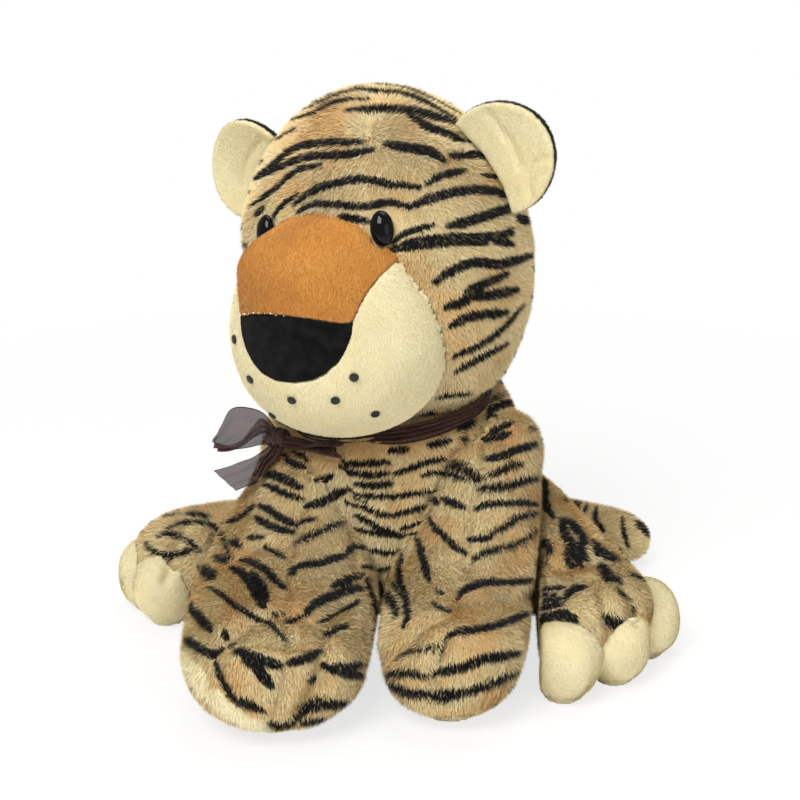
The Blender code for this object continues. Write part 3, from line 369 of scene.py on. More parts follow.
CREASES = {
    # name: (depth mm, half width mm, picture points)
    "forehead gusset": (1.6, 3.0, [(464, 143), (442, 163), (423, 188), (405, 211)]),
    "chest seam": (3.6, 3.5, [(389, 440), (392, 475), (395, 515), (401, 545), (403, 560)]),
    "chest panel, right edge": (4.5, 4.5, [(342, 452), (351, 480), (354, 520), (356, 560), (364, 585)]),
    "chest panel, left edge": (4.5, 4.5, [(455, 452), (441, 480), (428, 505), (415, 535), (405, 560)]),
    "right leg seam": (3.3, 3.6, [(308, 455), (304, 510), (290, 560), (284, 613), (288, 652), (277, 698),
                                  (268, 724)]),
    "right ankle": (6.0, 9.0, [(214, 656), (229, 641), (250, 625), (286, 612), (320, 618), (345, 600)]),
    "right outer toe": (5.4, 5.0, [(214, 656), (218, 675), (229, 697), (243, 712)]),
    "right inner toe": (6.6, 6.0, [(321, 622), (324, 648), (318, 675), (308, 696), (301, 708)]),
    "right leg, inner fold": (4.5, 5.0, [(362, 620), (364, 652), (369, 690)]),
    "right knee fold": (3.9, 7.0, [(233, 560), (250, 548), (268, 546)]),
    "left leg seam": (3.3, 3.6, [(485, 416), (483, 440), (482, 476), (473, 505), (470, 534), (467, 561)]),
    "left ankle": (5.7, 8.0, [(405, 640), (430, 624), (452, 612), (461, 590), (466, 565)]),
    "left ankle, outer": (3.9, 7.0, [(461, 600), (490, 604), (520, 600), (538, 588)]),
    "left inner toe": (5.7, 5.5, [(447, 637), (441, 655), (434, 675), (431, 692)]),
    "left toe, low": (4.5, 5.0, [(384, 664), (396, 652), (405, 645)]),
    "left foot, thigh fold": (4.5, 7.0, [(541, 560), (560, 567), (585, 562), (610, 560)]),
    "left hind toe, inner": (5.1, 5.0, [(590, 580), (597, 595), (603, 614), (609, 628)]),
    "left hind toe, outer": (5.1, 5.0, [(616, 570), (624, 593), (631, 605), (636, 620)]),
    "right hind toe": (4.5, 5.0, [(185, 528), (176, 548), (172, 565), (166, 580)]),
    "left ear, upper": (1.6, 3.5, [(487, 112), (500, 130), (512, 146), (520, 166)]),
    "left ear, lower": (1.4, 3.0, [(548, 158), (534, 165), (528, 182), (530, 196)]),
    "right ear": (1.4, 3.5, [(262, 140), (248, 160), (243, 185)]),
    "chin seam": (0.9, 2.2, [(300, 431), (330, 435), (378, 431), (417, 418), (440, 395), (449, 366)]),
}


CHUNK = 2000       # points measured at a time, so that the table of gaps stays small


def press(mesh, line_points, depth, half_width):
    """Sink the skin along a line by a soft groove. A negative depth pushes it out."""
    places, ways = points_of(mesh), normals_of(mesh)
    sunk = np.zeros(len(places))
    line_points = np.array(line_points)
    low = line_points.min(0) - 3 * half_width
    high = line_points.max(0) + 3 * half_width
    near = np.where(((places > low) & (places < high)).all(1))[0]
    for chunk in np.array_split(near, max(1, len(near) // CHUNK)):
        if len(chunk):
            gaps = np.linalg.norm(places[chunk, None, :] - line_points[None], axis=2).min(1)
            sunk[chunk] = depth * np.exp(-(gaps / half_width) ** 2)
    move_points(mesh, places - ways * sunk[:, None])


surface, owners = whole_surface()
pressed = 0
for depth, half_width, line in CREASES.values():
    for name, run, _ in carried(line, surface, owners):
        if name in skins and len(run) > 3:
            press(skins[name], run, depth * MM, half_width * MM)
            pressed += 1
for node, mesh in skins.items():
    settled(mesh, node)
print("creases pressed:", pressed)

# %% [markdown]
# Uneven filling
# Hand-stuffed plush is a little lumpy. Slow noise pushes each skin in or out by a millimetre at most places,
# and a faster, weaker one gives the nap its soft unrest.

# %% Make the filling uneven
LUMPS = {"torso": 1.3, "head": 0.9, "front_leg_left": 1.4, "front_leg_right": 1.4, "hind_leg_left": 1.3,
         "hind_leg_right": 1.3, "tail": 1.0, "muzzle": 0.35, "toe_pad_left": 0.6, "toe_pad_right": 0.6,
         "ear_front_left": 0.4, "ear_front_right": 0.4}
LUMP_SIZE = 34 * MM
RIPPLE_SHARE, RIPPLE_COUNT = 0.4, 2.7     # the faster noise: its height, and how many fit in a lump
for node, height in LUMPS.items():
    mesh = skins[node]
    places, ways = points_of(mesh), normals_of(mesh)
    spots = [Vector(place) / LUMP_SIZE for place in places]
    raised = np.array([noise.noise(spot) + RIPPLE_SHARE * noise.noise(spot * RIPPLE_COUNT) for spot in spots])
    move_points(mesh, places + ways * (raised * height * MM)[:, None])
    settled(mesh, node)
print("lumps on", len(LUMPS), "skins")

# %% [markdown]
# Fuller and leaner places
# A hand-stuffed toy is never quite the pattern's shape. Where the picture shows a place fuller or leaner
# than the solid, the skin is pushed out or in round the point that a pixel names.

# %% Push single places out or in
FULLNESS = {
    # name: (height mm, half width mm, pixel)
    "head, right temple": (5.5, 20.0, (250, 258)),
    "head, right brow": (3.5, 16.0, (250, 222)),
    "torso, left shoulder": (5.0, 18.0, (522, 424)),
    "right paw, outer corner": (-6.0, 15.0, (216, 690)),
    "right paw, top": (3.5, 20.0, (262, 640)),
    "right paw, inner": (3.0, 16.0, (340, 655)),
    "left paw, top": (3.5, 22.0, (450, 650)),
    "left paw, outer": (3.0, 16.0, (505, 640)),
    "left hind foot, outer": (6.0, 18.0, (638, 592)),
    "left hind toe, outer": (-6.0, 17.0, (668, 600)),
    "left hind toe, middle": (2.5, 14.0, (608, 655)),
    "left hind foot, over the inner toe": (6.0, 12.0, (577, 612)),
    "left hind foot, over the middle toe": (6.0, 12.0, (612, 600)),
}
surface, owners = whole_surface()
for height, half_width, (x, y) in FULLNESS.values():
    place, _, face, _ = surface.ray_cast(EYE_POINT, pixel_ray(x, y))
    node = owners[face] if place is not None else None
    if node in skins:
        press(skins[node], [place], -height * MM, half_width * MM)
        settled(skins[node], node)
print("places pushed:", len(FULLNESS))

# %% [markdown]
# Ribbon
# Sheer organza, 38 mm wide, woven of dark brown yarn with a firm selvedge on both sides. The bow is one
# strip that is gathered in the knot and opens away from it. So each part is a sheet between its two
# selvedges, and folds run along it: as steep as it takes to hold the full width of ribbon between them.

# %% Tools for the ribbon
RIBBON_WIDTH = 38 * MM
ACROSS = 37             # faces across the ribbon, so about 1 mm each
SELVEDGE_SLOT = 1


def at_depth(x, y, depth):
    """Where the ray through a pixel meets the upright plane at this depth in mm."""
    way = pixel_ray(x, y)
    return np.array(EYE_POINT + way * ((depth * MM - EYE_POINT.y) / way.y))


def evenly(points, count):
    """A smooth line through the points, as so many points at even steps."""
    line = smooth_line(points, 0.4 * MM)
    gone = np.concatenate([[0.0], np.cumsum(np.linalg.norm(np.diff(line, axis=0), axis=1))])
    goal = np.linspace(0.0, gone[-1], count)
    return np.stack([np.interp(goal, gone, line[:, axis]) for axis in range(3)], axis=1)


def grid_sheet(node, places, row_step):
    """Faces between rows of points. Its place on the flat ribbon is kept as the UV map, in metres."""
    rows, wide = places.shape[:2]
    corner = np.arange((rows - 1) * wide).reshape(rows - 1, wide)[:, :-1].ravel()
    faces = np.stack([corner, corner + 1, corner + wide + 1, corner + wide], axis=1)
    mesh = bpy.data.meshes.new(node + "_sheet")
    mesh.from_pydata(places.reshape(-1, 3).tolist(), [], faces.tolist())
    corners = np.empty(len(mesh.loops), int)
    mesh.loops.foreach_get("vertex_index", corners)
    flat = np.stack([(corners % wide) / ACROSS * RIBBON_WIDTH, corners // wide * row_step], axis=1)
    mesh.uv_layers.new(name="ribbon").data.foreach_set("uv", flat.astype(np.float32).ravel())
    ribbons[node] = mesh
    return mesh


def ribbon_sheet(node, first, second, folds, seed, ease=0.0):
    """The ribbon between two selvedges, each an even line of points. Ease flattens the folds at the far end."""
    chance = np.random.default_rng(seed)
    rows = len(first)
    along, across = np.gradient((first + second) / 2, axis=0), second - first
    width = np.linalg.norm(across, axis=1)
    out = np.cross(along, across)
    out /= np.linalg.norm(out, axis=1)[:, None]
    share, down = np.linspace(0, 1, ACROSS + 1)[None], np.linspace(0, 1, rows)[:, None]
    slack = np.sqrt(np.maximum((RIBBON_WIDTH / width) ** 2 - 1, 0.02))
    steep = (width * slack / (2 * math.pi * folds) * 1.3)[:, None] * (1 - ease * down)
    sway = 0.10 * np.sin(5.1 * down + chance.uniform(0, 6)) + 0.05 * np.sin(13 * down + chance.uniform(0, 6))
    bend = chance.uniform(0.7, 1.3)
    wave = np.sin(2 * math.pi * (folds * share ** bend + sway) + chance.uniform(0, 6))
    places = first[:, None] + across[:, None] * share[..., None] + out[:, None] * (steep * wave)[..., None]
    length = float(np.linalg.norm(np.diff((first + second) / 2, axis=0), axis=1).sum())
    mesh = grid_sheet(node, places, length / (rows - 1))
    columns = np.tile(np.arange(ACROSS), rows - 1)
    edges = (columns == 0) | (columns == ACROSS - 1)
    mesh.polygons.foreach_set("material_index", edges.astype(int) * SELVEDGE_SLOT)
    area = sum(polygon.area for polygon in mesh.polygons)
    print(node, "length", round(length / MM), "mm, cloth", round(area / (RIBBON_WIDTH * length), 2), "of flat")
    return length


print("ribbon tools ready")

# %% [markdown]
# The band lies in the groove between head and torso. Its solid gives its way round the neck, and the
# picture shows that on the toy's left it rides higher, and near the knot lower.

# %% Lay the band
# Both tables go by the direction from the neck's middle, in degrees, and say mm
BAND_LIFT = {-180: 0, -165: -3, -150: -8, -135: -5, -118: 0, -100: 5, -80: 9, -60: 12, -40: 14, -25: 14, -10: 12,
             10: 7, 40: 2, 60: 0, 180: 0}
BAND_WIDTH = {-180: 9, -150: 8, -120: 11, -95: 12, -80: 15, -60: 15, -40: 12, -20: 9, 0: 8, 60: 10, 180: 9}
BAND_ROWS = 240
BLEND_DEG = 9           # how wide a share of the solid's points each point of the path averages
SEARCH = 12 * MM


def table(values, degrees):
    return np.interp(degrees, list(values), [value * MM for value in values.values()])


def round_smooth(values, rounds):
    for _ in range(rounds):
        values = (np.roll(values, 1, axis=0) + 2 * values + np.roll(values, -1, axis=0)) / 4
    return values


def neck_path():
    """The band's middle, one point for each step round the neck, and its direction outwards."""
    places = points_of(NODES["ribbon_band"].data)
    middle = (places.min(0) + places.max(0)) / 2
    turns = np.degrees(np.arctan2(places[:, 1] - middle[1], places[:, 0] - middle[0]))
    degrees = np.linspace(-180, 180, BAND_ROWS, endpoint=False)
    gaps = (turns[None] - degrees[:, None] + 180) % 360 - 180
    near = np.exp(-(gaps / BLEND_DEG) ** 2)
    path = near @ places / near.sum(1)[:, None]
    path[:, 2] += table(BAND_LIFT, degrees)
    out = np.stack([np.cos(np.radians(degrees)), np.sin(np.radians(degrees)), 0 * degrees], axis=1)
    path = round_smooth(path, 12)
    trees = [tree_of(skins[node]) for node in ("torso", "head")]
    for index, (place, way) in enumerate(zip(path, out)):
        way = Vector(way)
        hits = [tree.ray_cast(Vector(place) + way * SEARCH, -way, 2 * SEARCH) for tree in trees]
        reach = [SEARCH - hit[3] for hit in hits if hit[0] is not None and hit[1].dot(way) > 0.1]
        if reach:
            path[index] += np.array(way) * (max(reach) + 1.0 * MM)
    return round_smooth(path, 30), out, degrees


path, out, degrees = neck_path()
rise = np.cross(out, np.roll(path, -1, axis=0) - np.roll(path, 1, axis=0))
rise *= (table(BAND_WIDTH, degrees) / 2 / np.linalg.norm(rise, axis=1))[:, None]
ring = [np.vstack([line, line[:1]]) for line in (path - rise, path + rise)]
lengths = {"ribbon_band": ribbon_sheet("ribbon_band", *ring, 4, 31)}

# %% [markdown]
# The bow's selvedges are read from the picture as pixels, and the depth of each point comes from the solid
# that the sheet stands for. Both loops turn back on themselves, so the picture shows two layers there.

# %% Lay the bow
BOW = {
    # node: (rows, folds, ease, first selvedge, second selvedge) as (x px, y px, depth mm), from the knot
    "ribbon_loop_right": (110, 2.5, 0.35,
        [(279, 436, -94), (264, 414, -90), (246, 407, -86), (231, 409, -82), (222, 424, -79), (212, 441, -78),
         (214, 444, -84), (226, 446, -90), (240, 441, -95), (252, 427, -98), (263, 419, -99), (280, 437, -99)],
        [(281, 447, -93), (264, 444.5, -89), (250, 447.5, -85), (238, 449.5, -81), (227, 451, -78), (218, 451.5, -79),
         (222, 451, -86), (232, 450, -92), (243, 446, -96), (255, 437, -99), (267, 433, -100), (281, 444, -100)]),
    "ribbon_loop_left": (90, 1.5, 0.3,
        [(284, 434, -98), (298, 438, -103), (310, 443, -108), (326, 440, -114), (338, 439.5, -119),
         (337, 441, -122), (322, 442, -119), (308, 444.5, -113), (296, 440, -107), (285, 438, -101)],
        [(285, 449, -97), (297, 449, -102), (309, 450, -107), (322, 455, -112), (334, 459, -117),
         (336, 456, -121), (321, 453, -118), (308, 449, -112), (296, 448, -106), (286, 447, -101)]),
    "ribbon_end_right": (80, 2.5, 0.2,
        [(270, 444, -99), (262, 451, -103), (252, 457, -106), (240, 461.5, -109), (227, 466.5, -111),
         (213, 470.5, -112)],
        [(284, 449, -100), (275, 459, -105), (267, 468, -109), (260, 478, -113), (250, 485, -117),
         (236, 491, -119)]),
    "ribbon_end_left": (60, 3.0, 0.3,
        [(272, 446, -101), (265, 455, -106), (259, 465, -112), (255, 473, -118)],
        [(284, 448, -101), (278, 458, -106), (270, 468, -112), (264, 478, -118)]),
}
for seed, (node, (rows, folds, ease, first, second)) in enumerate(BOW.items()):
    sides = [evenly([at_depth(*point) for point in side], rows) for side in (first, second)]
    lengths[node] = ribbon_sheet(node, *sides, folds, 40 + seed, ease)

# %% [markdown]
# The knot is the ribbon wrapped once round the rest, crumpled into a small barrel with folds running round.

# %% Tie the knot
KNOT_ROWS = 64
KNOT_RADIUS = 8.2 * MM
KNOT_LENGTH = 17 * MM
KNOT_STEP = 0.8 * MM     # from row to row


def knot_sheet():
    """A barrel with pinched ends, pleated round its middle."""
    low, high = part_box("ribbon_knot")
    centre = np.array((low + high) / 2)
    axis = np.array(Vector((0.85, -0.5, 0.12)).normalized())
    side = np.cross(axis, (0, 0, 1.0))
    side /= np.linalg.norm(side)
    other = np.cross(side, axis)
    turn = np.linspace(0, 2 * math.pi, KNOT_ROWS)[:, None]
    share = np.linspace(-1, 1, ACROSS + 1)[None]
    radius = KNOT_RADIUS * (0.62 + 0.38 * np.sqrt(np.maximum(1 - share ** 2, 0)))
    radius = radius * (1 + 0.10 * np.sin(turn + 1.0) + 0.06 * np.sin(2 * turn))
    radius = radius + 0.8 * MM * np.sin(11 * share + 0.9 * np.sin(turn) + 0.5 * np.sin(2 * turn + 1))
    places = (centre + axis * (share[..., None] * KNOT_LENGTH / 2)
              + side * (radius * np.cos(turn))[..., None] + other * (radius * np.sin(turn))[..., None])
    return grid_sheet("ribbon_knot", places, KNOT_STEP)


knot_area = sum(polygon.area for polygon in knot_sheet().polygons)
lengths["ribbon_knot"] = knot_area / RIBBON_WIDTH
print("knot cloth", round(knot_area * 1e6), "mm2")

# %% [markdown]
# Stripes
# The plush is printed: black strokes with tapered ends, most of them crisp, some smoky where the pile has
# been brushed. Every stroke seen in the picture is written down as a few points with its width in
# millimetres and 1 where it is smoky, or 2 where cream cloth of the sole comes round a paw's edge. Rays
# carry them onto the skins, as they carried the seams.

# %% Strokes as they are read off the picture
HEAD_STRIPES = [
    (3.4, 0, [(284, 115), (343, 88), (379, 87), (412, 92), (458, 115)]),
    (3.4, 0, [(288, 121), (343, 94), (379, 93), (412, 98), (452, 119)]),
    (2.8, 0, [(277, 128), (307, 117), (338, 103), (368, 101)]),
    (3.9, 0, [(347, 112), (379, 110), (412, 112), (445, 121), (465, 129)]),
    (3.9, 0, [(409, 115), (430, 129), (447, 135), (465, 143)]),
    (2.8, 0, [(254, 162), (269, 147), (297, 130)]),
    (3.9, 0, [(250, 185), (269, 170), (297, 149), (327, 144), (361, 143)]),
    (3.9, 0, [(254, 182), (284, 167), (310, 158), (343, 156), (373, 151)]),
    (3.1, 0, [(252, 207), (276, 190), (297, 172), (321, 166)]),
    (3.1, 0, [(256, 216), (265, 208)]),
    (2.7, 0, [(266, 228), (279, 210), (299, 195)]),
    (3.6, 0, [(296, 205), (312, 193), (333, 185), (363, 180), (389, 185), (419, 188)]),
    (3.6, 0, [(299, 213), (315, 205), (335, 205), (363, 207), (389, 203), (412, 208)]),
    (3.6, 0, [(340, 217), (353, 219), (373, 223)]),
    (4.5, 0, [(386, 145), (404, 148), (430, 153), (442, 161)]),
    (3.9, 0, [(449, 157), (470, 156), (498, 156)]),
    (2.8, 0, [(468, 142), (478, 140), (488, 142)]),
    (3.6, 0, [(427, 185), (440, 177), (465, 171)]),
    (2.7, 0, [(481, 176), (493, 177), (507, 178)]),
    (4.5, 0, [(409, 208), (430, 200), (455, 193), (481, 191), (506, 195), (518, 199)]),
    (4.7, 0, [(447, 227), (468, 222), (496, 213), (520, 205)]),
    (4.7, 0, [(515, 219), (529, 222)]),
    (3.1, 0, [(391, 244), (407, 233), (433, 226)]),
    (5.9, 0, [(389, 250), (417, 244), (455, 240), (488, 239), (511, 232)]),
    (4.0, 0, [(488, 239), (512, 245)]),
    (4.7, 0, [(435, 282), (455, 269), (475, 263), (501, 264), (531, 255)]),
    (4.7, 0, [(445, 307), (465, 300), (470, 290), (506, 274)]),
    (4.7, 0, [(468, 297), (488, 295), (516, 290)]),
    (4.7, 0, [(451, 325), (470, 316), (506, 312)]),
    (3.5, 0, [(453, 356), (481, 343), (501, 328), (521, 305)]),
    (3.5, 0, [(455, 371), (481, 356), (506, 343)]),
    (3.6, 0, [(233, 239), (251, 246)]),
    (3.6, 0, [(233, 254), (246, 267)]),
]
CHEST_STRIPES = [
    (2.4, 0, [(372, 442), (385, 439)]),
    (3.1, 0, [(390, 451), (408, 450)]),
    (3.1, 0, [(427, 446), (439, 444), (450, 441)]),
    (3.5, 0, [(343, 462), (359, 464), (375, 463), (390, 462)]),
    (3.5, 0, [(339, 467), (343, 468), (355, 473), (373, 475), (389, 473)]),
    (3.1, 0, [(394, 474), (408, 469), (426, 463), (444, 459)]),
    (2.4, 0, [(421, 476), (433, 473), (444, 472)]),
    (3.5, 0, [(355, 483), (366, 485), (380, 485), (393, 483)]),
    (2.8, 0, [(350, 488), (355, 492), (362, 495), (375, 496), (394, 496), (417, 493), (437, 490)]),
    (1.6, 0, [(353, 494), (359, 499), (367, 501)]),
    (2.8, 0, [(346, 502), (355, 504), (366, 508), (378, 513), (392, 515), (405, 512), (419, 507), (434, 501)]),
    (3.1, 0, [(355, 514), (364, 519), (375, 525), (389, 531), (401, 533)]),
    (2.4, 0, [(401, 529), (410, 526), (423, 522)]),
    (2.8, 0, [(355, 527), (364, 530), (378, 533), (392, 535), (408, 535), (418, 534)]),
    (2.4, 0, [(350, 543), (359, 548), (375, 550), (392, 552), (405, 552)]),
    (2.8, 0, [(362, 567), (373, 569), (385, 568), (392, 564)]),
    (3.8, 0, [(403, 555), (400, 570), (401, 584), (406, 600), (408, 616), (405, 627)]),
    (2.1, 0, [(392, 566), (390, 577), (396, 588), (405, 602)]),
    (5.2, 1, [(375, 579), (385, 593), (396, 607), (398, 618)]),
    (3.5, 0, [(367, 581), (371, 600), (377, 625), (379, 643), (384, 662)]),
]
FRONT_LEG_RIGHT_STRIPES = [
    (5.2, 0, [(281, 456), (293, 462), (304, 468)]),
    (2.8, 0, [(295, 452), (302, 455), (310, 461)]),
    (4.4, 0, [(264, 475), (274, 476), (286, 481), (300, 488)]),
    (3.6, 0, [(265, 485), (277, 490), (288, 495), (302, 500)]),
    (3.6, 0, [(316, 481), (325, 479), (334, 475)]),
    (4.4, 0, [(305, 507), (318, 504), (330, 498), (341, 492), (350, 489)]),
    (4.0, 0, [(260, 506), (270, 511), (281, 519), (295, 526)]),
    (3.6, 0, [(256, 518), (265, 524), (279, 530), (293, 533)]),
    (2.8, 0, [(297, 524), (307, 521), (315, 520)]),
    (2.4, 0, [(249, 539), (258, 538), (265, 538)]),
    (3.2, 1, [(295, 545), (307, 538), (320, 533), (332, 527), (343, 523)]),
    (2.8, 0, [(264, 547), (272, 552), (284, 558)]),
    (3.6, 0, [(346, 553), (350, 549), (353, 548)]),
    (3.6, 0, [(293, 570), (304, 566), (320, 564), (332, 560), (347, 556)]),
    (2.8, 0, [(291, 576), (295, 572)]),
    (4.0, 0, [(240, 562), (252, 564), (265, 571), (274, 580), (284, 591)]),
    (4.8, 0, [(232, 570), (242, 574), (252, 586), (258, 597), (262, 608)]),
    (4.4, 0, [(252, 574), (261, 586), (265, 597), (264, 608)]),
    (2.8, 0, [(209, 589), (222, 596), (235, 607), (249, 615), (256, 619), (268, 624), (277, 632), (288, 643)]),
    (4.5, 0, [(192, 602), (194, 611), (201, 620), (212, 632)]),
    (3.8, 0, [(181, 639), (192, 644), (203, 651), (214, 655), (222, 650)]),
    (3.1, 0, [(224, 632), (227, 640)]),
    (4.9, 0, [(231, 647), (242, 654), (256, 659), (268, 663), (279, 666)]),
    (4.9, 0, [(242, 655), (256, 667), (265, 678), (271, 686)]),
    (4.2, 0, [(217, 664), (222, 675), (231, 689), (242, 701), (254, 706), (263, 710)]),
    (4.0, 0, [(331, 588), (343, 583), (355, 578), (362, 576)]),
    (4.4, 0, [(305, 616), (313, 607), (327, 599), (341, 593), (353, 590), (363, 589)]),
    (2.8, 0, [(317, 624), (330, 619), (343, 612), (355, 604), (359, 602)]),
    (3.1, 0, [(326, 636), (336, 631), (347, 627)]),
    (2.1, 1, [(270, 616), (284, 615)]),
    (2.4, 0, [(288, 624), (302, 618)]),
    (3.8, 0, [(287, 664), (300, 661), (311, 657), (320, 651)]),
    (4.5, 0, [(323, 666), (339, 671), (353, 675), (363, 678)]),
    (3.5, 0, [(330, 667), (348, 667), (363, 665)]),
    (3.8, 0, [(307, 680), (315, 678)]),
    (5.2, 1, [(295, 719), (307, 708), (323, 703), (343, 704), (359, 708), (373, 701)]),
    (4.2, 1, [(302, 721), (320, 719), (339, 721), (353, 719)]),
    (3.5, 1, [(269, 721), (279, 724), (293, 721)]),
]
HIND_FOOT_RIGHT_STRIPES = [
    (2.4, 1, [(160, 518), (169, 517), (178, 516)]),
    (3.5, 1, [(147, 545), (151, 550), (160, 555), (173, 556), (185, 553), (194, 549)]),
    (3.1, 1, [(159, 537), (171, 535), (183, 539), (192, 545), (199, 552)]),
    (2.8, 1, [(169, 529), (180, 524), (196, 523), (210, 525), (219, 532), (225, 542), (229, 556)]),
    (3.5, 1, [(187, 515), (199, 516), (208, 518)]),
    (5.9, 1, [(201, 568), (208, 574), (215, 579)]),
    (3.5, 1, [(215, 558), (224, 561), (231, 558)]),
    (2.8, 0, [(222, 524), (233, 522), (245, 515), (254, 507)]),
    (4.5, 1, [(231, 542), (240, 547)]),
]
FRONT_LEG_LEFT_STRIPES = [
    (5.2, 1, [(447, 468), (456, 467), (466, 471), (476, 479), (482, 479)]),
    (3.7, 1, [(442, 473), (454, 475), (468, 479)]),
    (3.7, 0, [(443, 499), (451, 503), (464, 508)]),
    (3.3, 0, [(430, 520), (437, 530), (447, 539), (456, 549), (466, 554)]),
    (3.3, 0, [(433, 499), (439, 505)]),
    (3.7, 0, [(418, 539), (421, 551), (425, 566), (430, 583)]),
    (2.3, 0, [(436, 591), (443, 595)]),
    (2.1, 0, [(433, 605), (442, 610), (450, 613)]),
    (4.8, 0, [(487, 419), (493, 410), (505, 405), (519, 402)]),
    (4.1, 0, [(483, 440), (495, 438), (510, 435)]),
    (3.3, 0, [(490, 434), (500, 429), (512, 424)]),
    (4.1, 0, [(487, 460), (502, 457), (519, 450), (535, 445)]),
    (3.3, 1, [(487, 476), (500, 472), (510, 467), (522, 464)]),
    (4.1, 1, [(478, 490), (490, 488), (510, 486), (524, 481), (541, 478)]),
    (3.3, 0, [(475, 510), (488, 505), (505, 503), (522, 503), (539, 505)]),
    (3.3, 1, [(490, 535), (505, 527), (515, 520), (527, 516), (539, 514)]),
    (2.9, 0, [(467, 541), (481, 540), (491, 538)]),
    (3.3, 1, [(473, 561), (485, 554), (500, 549), (515, 545), (529, 536), (536, 530)]),
    (3.5, 0, [(456, 602), (461, 595), (473, 587), (490, 583), (510, 583), (524, 581), (534, 578)]),
    (3.5, 0, [(447, 638), (454, 634), (471, 631), (490, 628), (510, 622), (527, 614)]),
    (2.1, 0, [(445, 641), (442, 651), (438, 662)]),
    (4.4, 0, [(433, 673), (449, 670), (466, 665), (485, 659), (505, 656), (518, 653)]),
    (4.7, 1, [(382, 682), (396, 687), (410, 692), (425, 694), (442, 697), (461, 694)]),
    (3.5, 1, [(384, 680), (396, 674), (410, 673), (427, 675)]),
    (3.8, 1, [(437, 692), (456, 692), (476, 688), (495, 682), (515, 673), (525, 667)]),
    (2.3, 1, [(398, 658), (410, 653), (425, 650), (442, 646)]),
]
SHOULDER_LEFT_STRIPES = [
    (2.6, 0, [(420, 412), (437, 410), (449, 408)]),
    (2.6, 0, [(437, 396), (451, 394), (471, 392)]),
    (2.6, 1, [(488, 404), (500, 396), (510, 392)]),
    (4.8, 1, [(459, 430), (468, 425), (473, 422)]),
    (4.1, 1, [(461, 440), (466, 440)]),
    (4.1, 0, [(542, 469), (544, 486), (545, 503), (553, 518)]),
    (2.6, 0, [(529, 430), (535, 431)]),
    (2.9, 1, [(565, 491), (564, 503)]),
    (2.6, 1, [(573, 496), (580, 505)]),
]
HIND_LEG_LEFT_STRIPES = [
    (5.5, 0, [(562, 525), (565, 535), (570, 544), (573, 556), (580, 561)]),
    (5.5, 1, [(562, 522), (573, 527), (582, 539), (580, 551), (585, 561)]),
    (4.5, 1, [(567, 549), (569, 564), (582, 568)]),
    (5.9, 1, [(594, 544), (602, 554), (614, 559)]),
    (4.5, 1, [(539, 539), (548, 547), (551, 554)]),
    (2.3, 0, [(541, 590), (553, 589), (565, 589)]),
    (2.3, 0, [(541, 596), (556, 596)]),
    (2.3, 0, [(541, 602), (553, 601), (565, 599)]),
    (3.9, 0, [(565, 599), (573, 591), (585, 588)]),
    (3.0, 0, [(536, 611), (551, 607), (563, 605)]),
    (6.5, 0, [(531, 634), (541, 624), (553, 617), (565, 616), (574, 619)]),
    (3.5, 1, [(538, 629), (551, 622), (565, 622)]),
    (6.5, 1, [(602, 566), (609, 576), (619, 585)]),
    (3.9, 1, [(633, 576), (645, 583), (655, 593), (662, 602)]),
    (5.9, 1, [(604, 617), (614, 623), (622, 624)]),
    (3.0, 1, [(619, 593), (628, 602), (633, 612)]),
    (6.5, 0, [(666, 593), (671, 607), (671, 622), (666, 636)]),
]
TAIL_STRIPES = [
    (2.6, 0, [(587, 505), (585, 513)]),
    (3.3, 0, [(597, 508), (596, 520), (602, 530), (601, 537)]),
    (2.6, 0, [(622, 518), (624, 532), (628, 547)]),
    (2.9, 0, [(621, 549), (621, 556)]),
    (2.6, 0, [(573, 499), (579, 510)]),
    (8.1, 1, [(641, 527), (649, 535), (651, 547), (643, 554)]),
]
CREAM_EDGES = [
    (13.0, 2, [(183, 656), (190, 671), (200, 685)]),
    (11.0, 2, [(214, 698), (227, 711), (244, 720), (262, 726)]),
    (6.0, 2, [(290, 727), (312, 729), (336, 727)]),
    (7.0, 2, [(386, 703), (405, 711), (428, 715)]),
    (6.0, 2, [(440, 716), (465, 716), (492, 712)]),
]
print("strokes written down:", len(HEAD_STRIPES) + len(CHEST_STRIPES), "on head and chest")

# %% Carry the strokes onto the skins
FURRED = ["torso", "head", "front_leg_left", "front_leg_right", "hind_leg_left", "hind_leg_right", "tail"]
CRISP_EDGE, SMOKY_EDGE = 0.8 * MM, 4.0 * MM
SPREAD = 1.65          # pile from above lies over a stroke's edge, so the print is broader than it looks
BLUNTNESS = 0.6        # a stroke's width at its ends, as a share of its middle
TAPER_SHARE = 0.2      # the part of its length over which it narrows, at each end
NARROWEST = 0.55       # where the skin turns away more than this, the stroke isn't widened further
surface, owners = whole_surface()
trees = {name: tree_of(skins[name]) for name in FURRED}


def tapered(share):
    """A stroke's width at this share of its length."""
    return BLUNTNESS + (1 - BLUNTNESS) * min(1.0, min(share, 1 - share) / TAPER_SHARE)


def narrowing(tree, run, number):
    """How much of a stroke's width the camera sees here, where the skin turns away from it."""
    place = run[number]
    along = run[min(number + 1, len(run) - 1)] - run[max(number - 1, 0)]
    across = tree.find_nearest(place)[1].cross(along).normalized()
    sight = (EYE_POINT - place).normalized()
    return max(NARROWEST, (across - sight * across.dot(sight)).length)


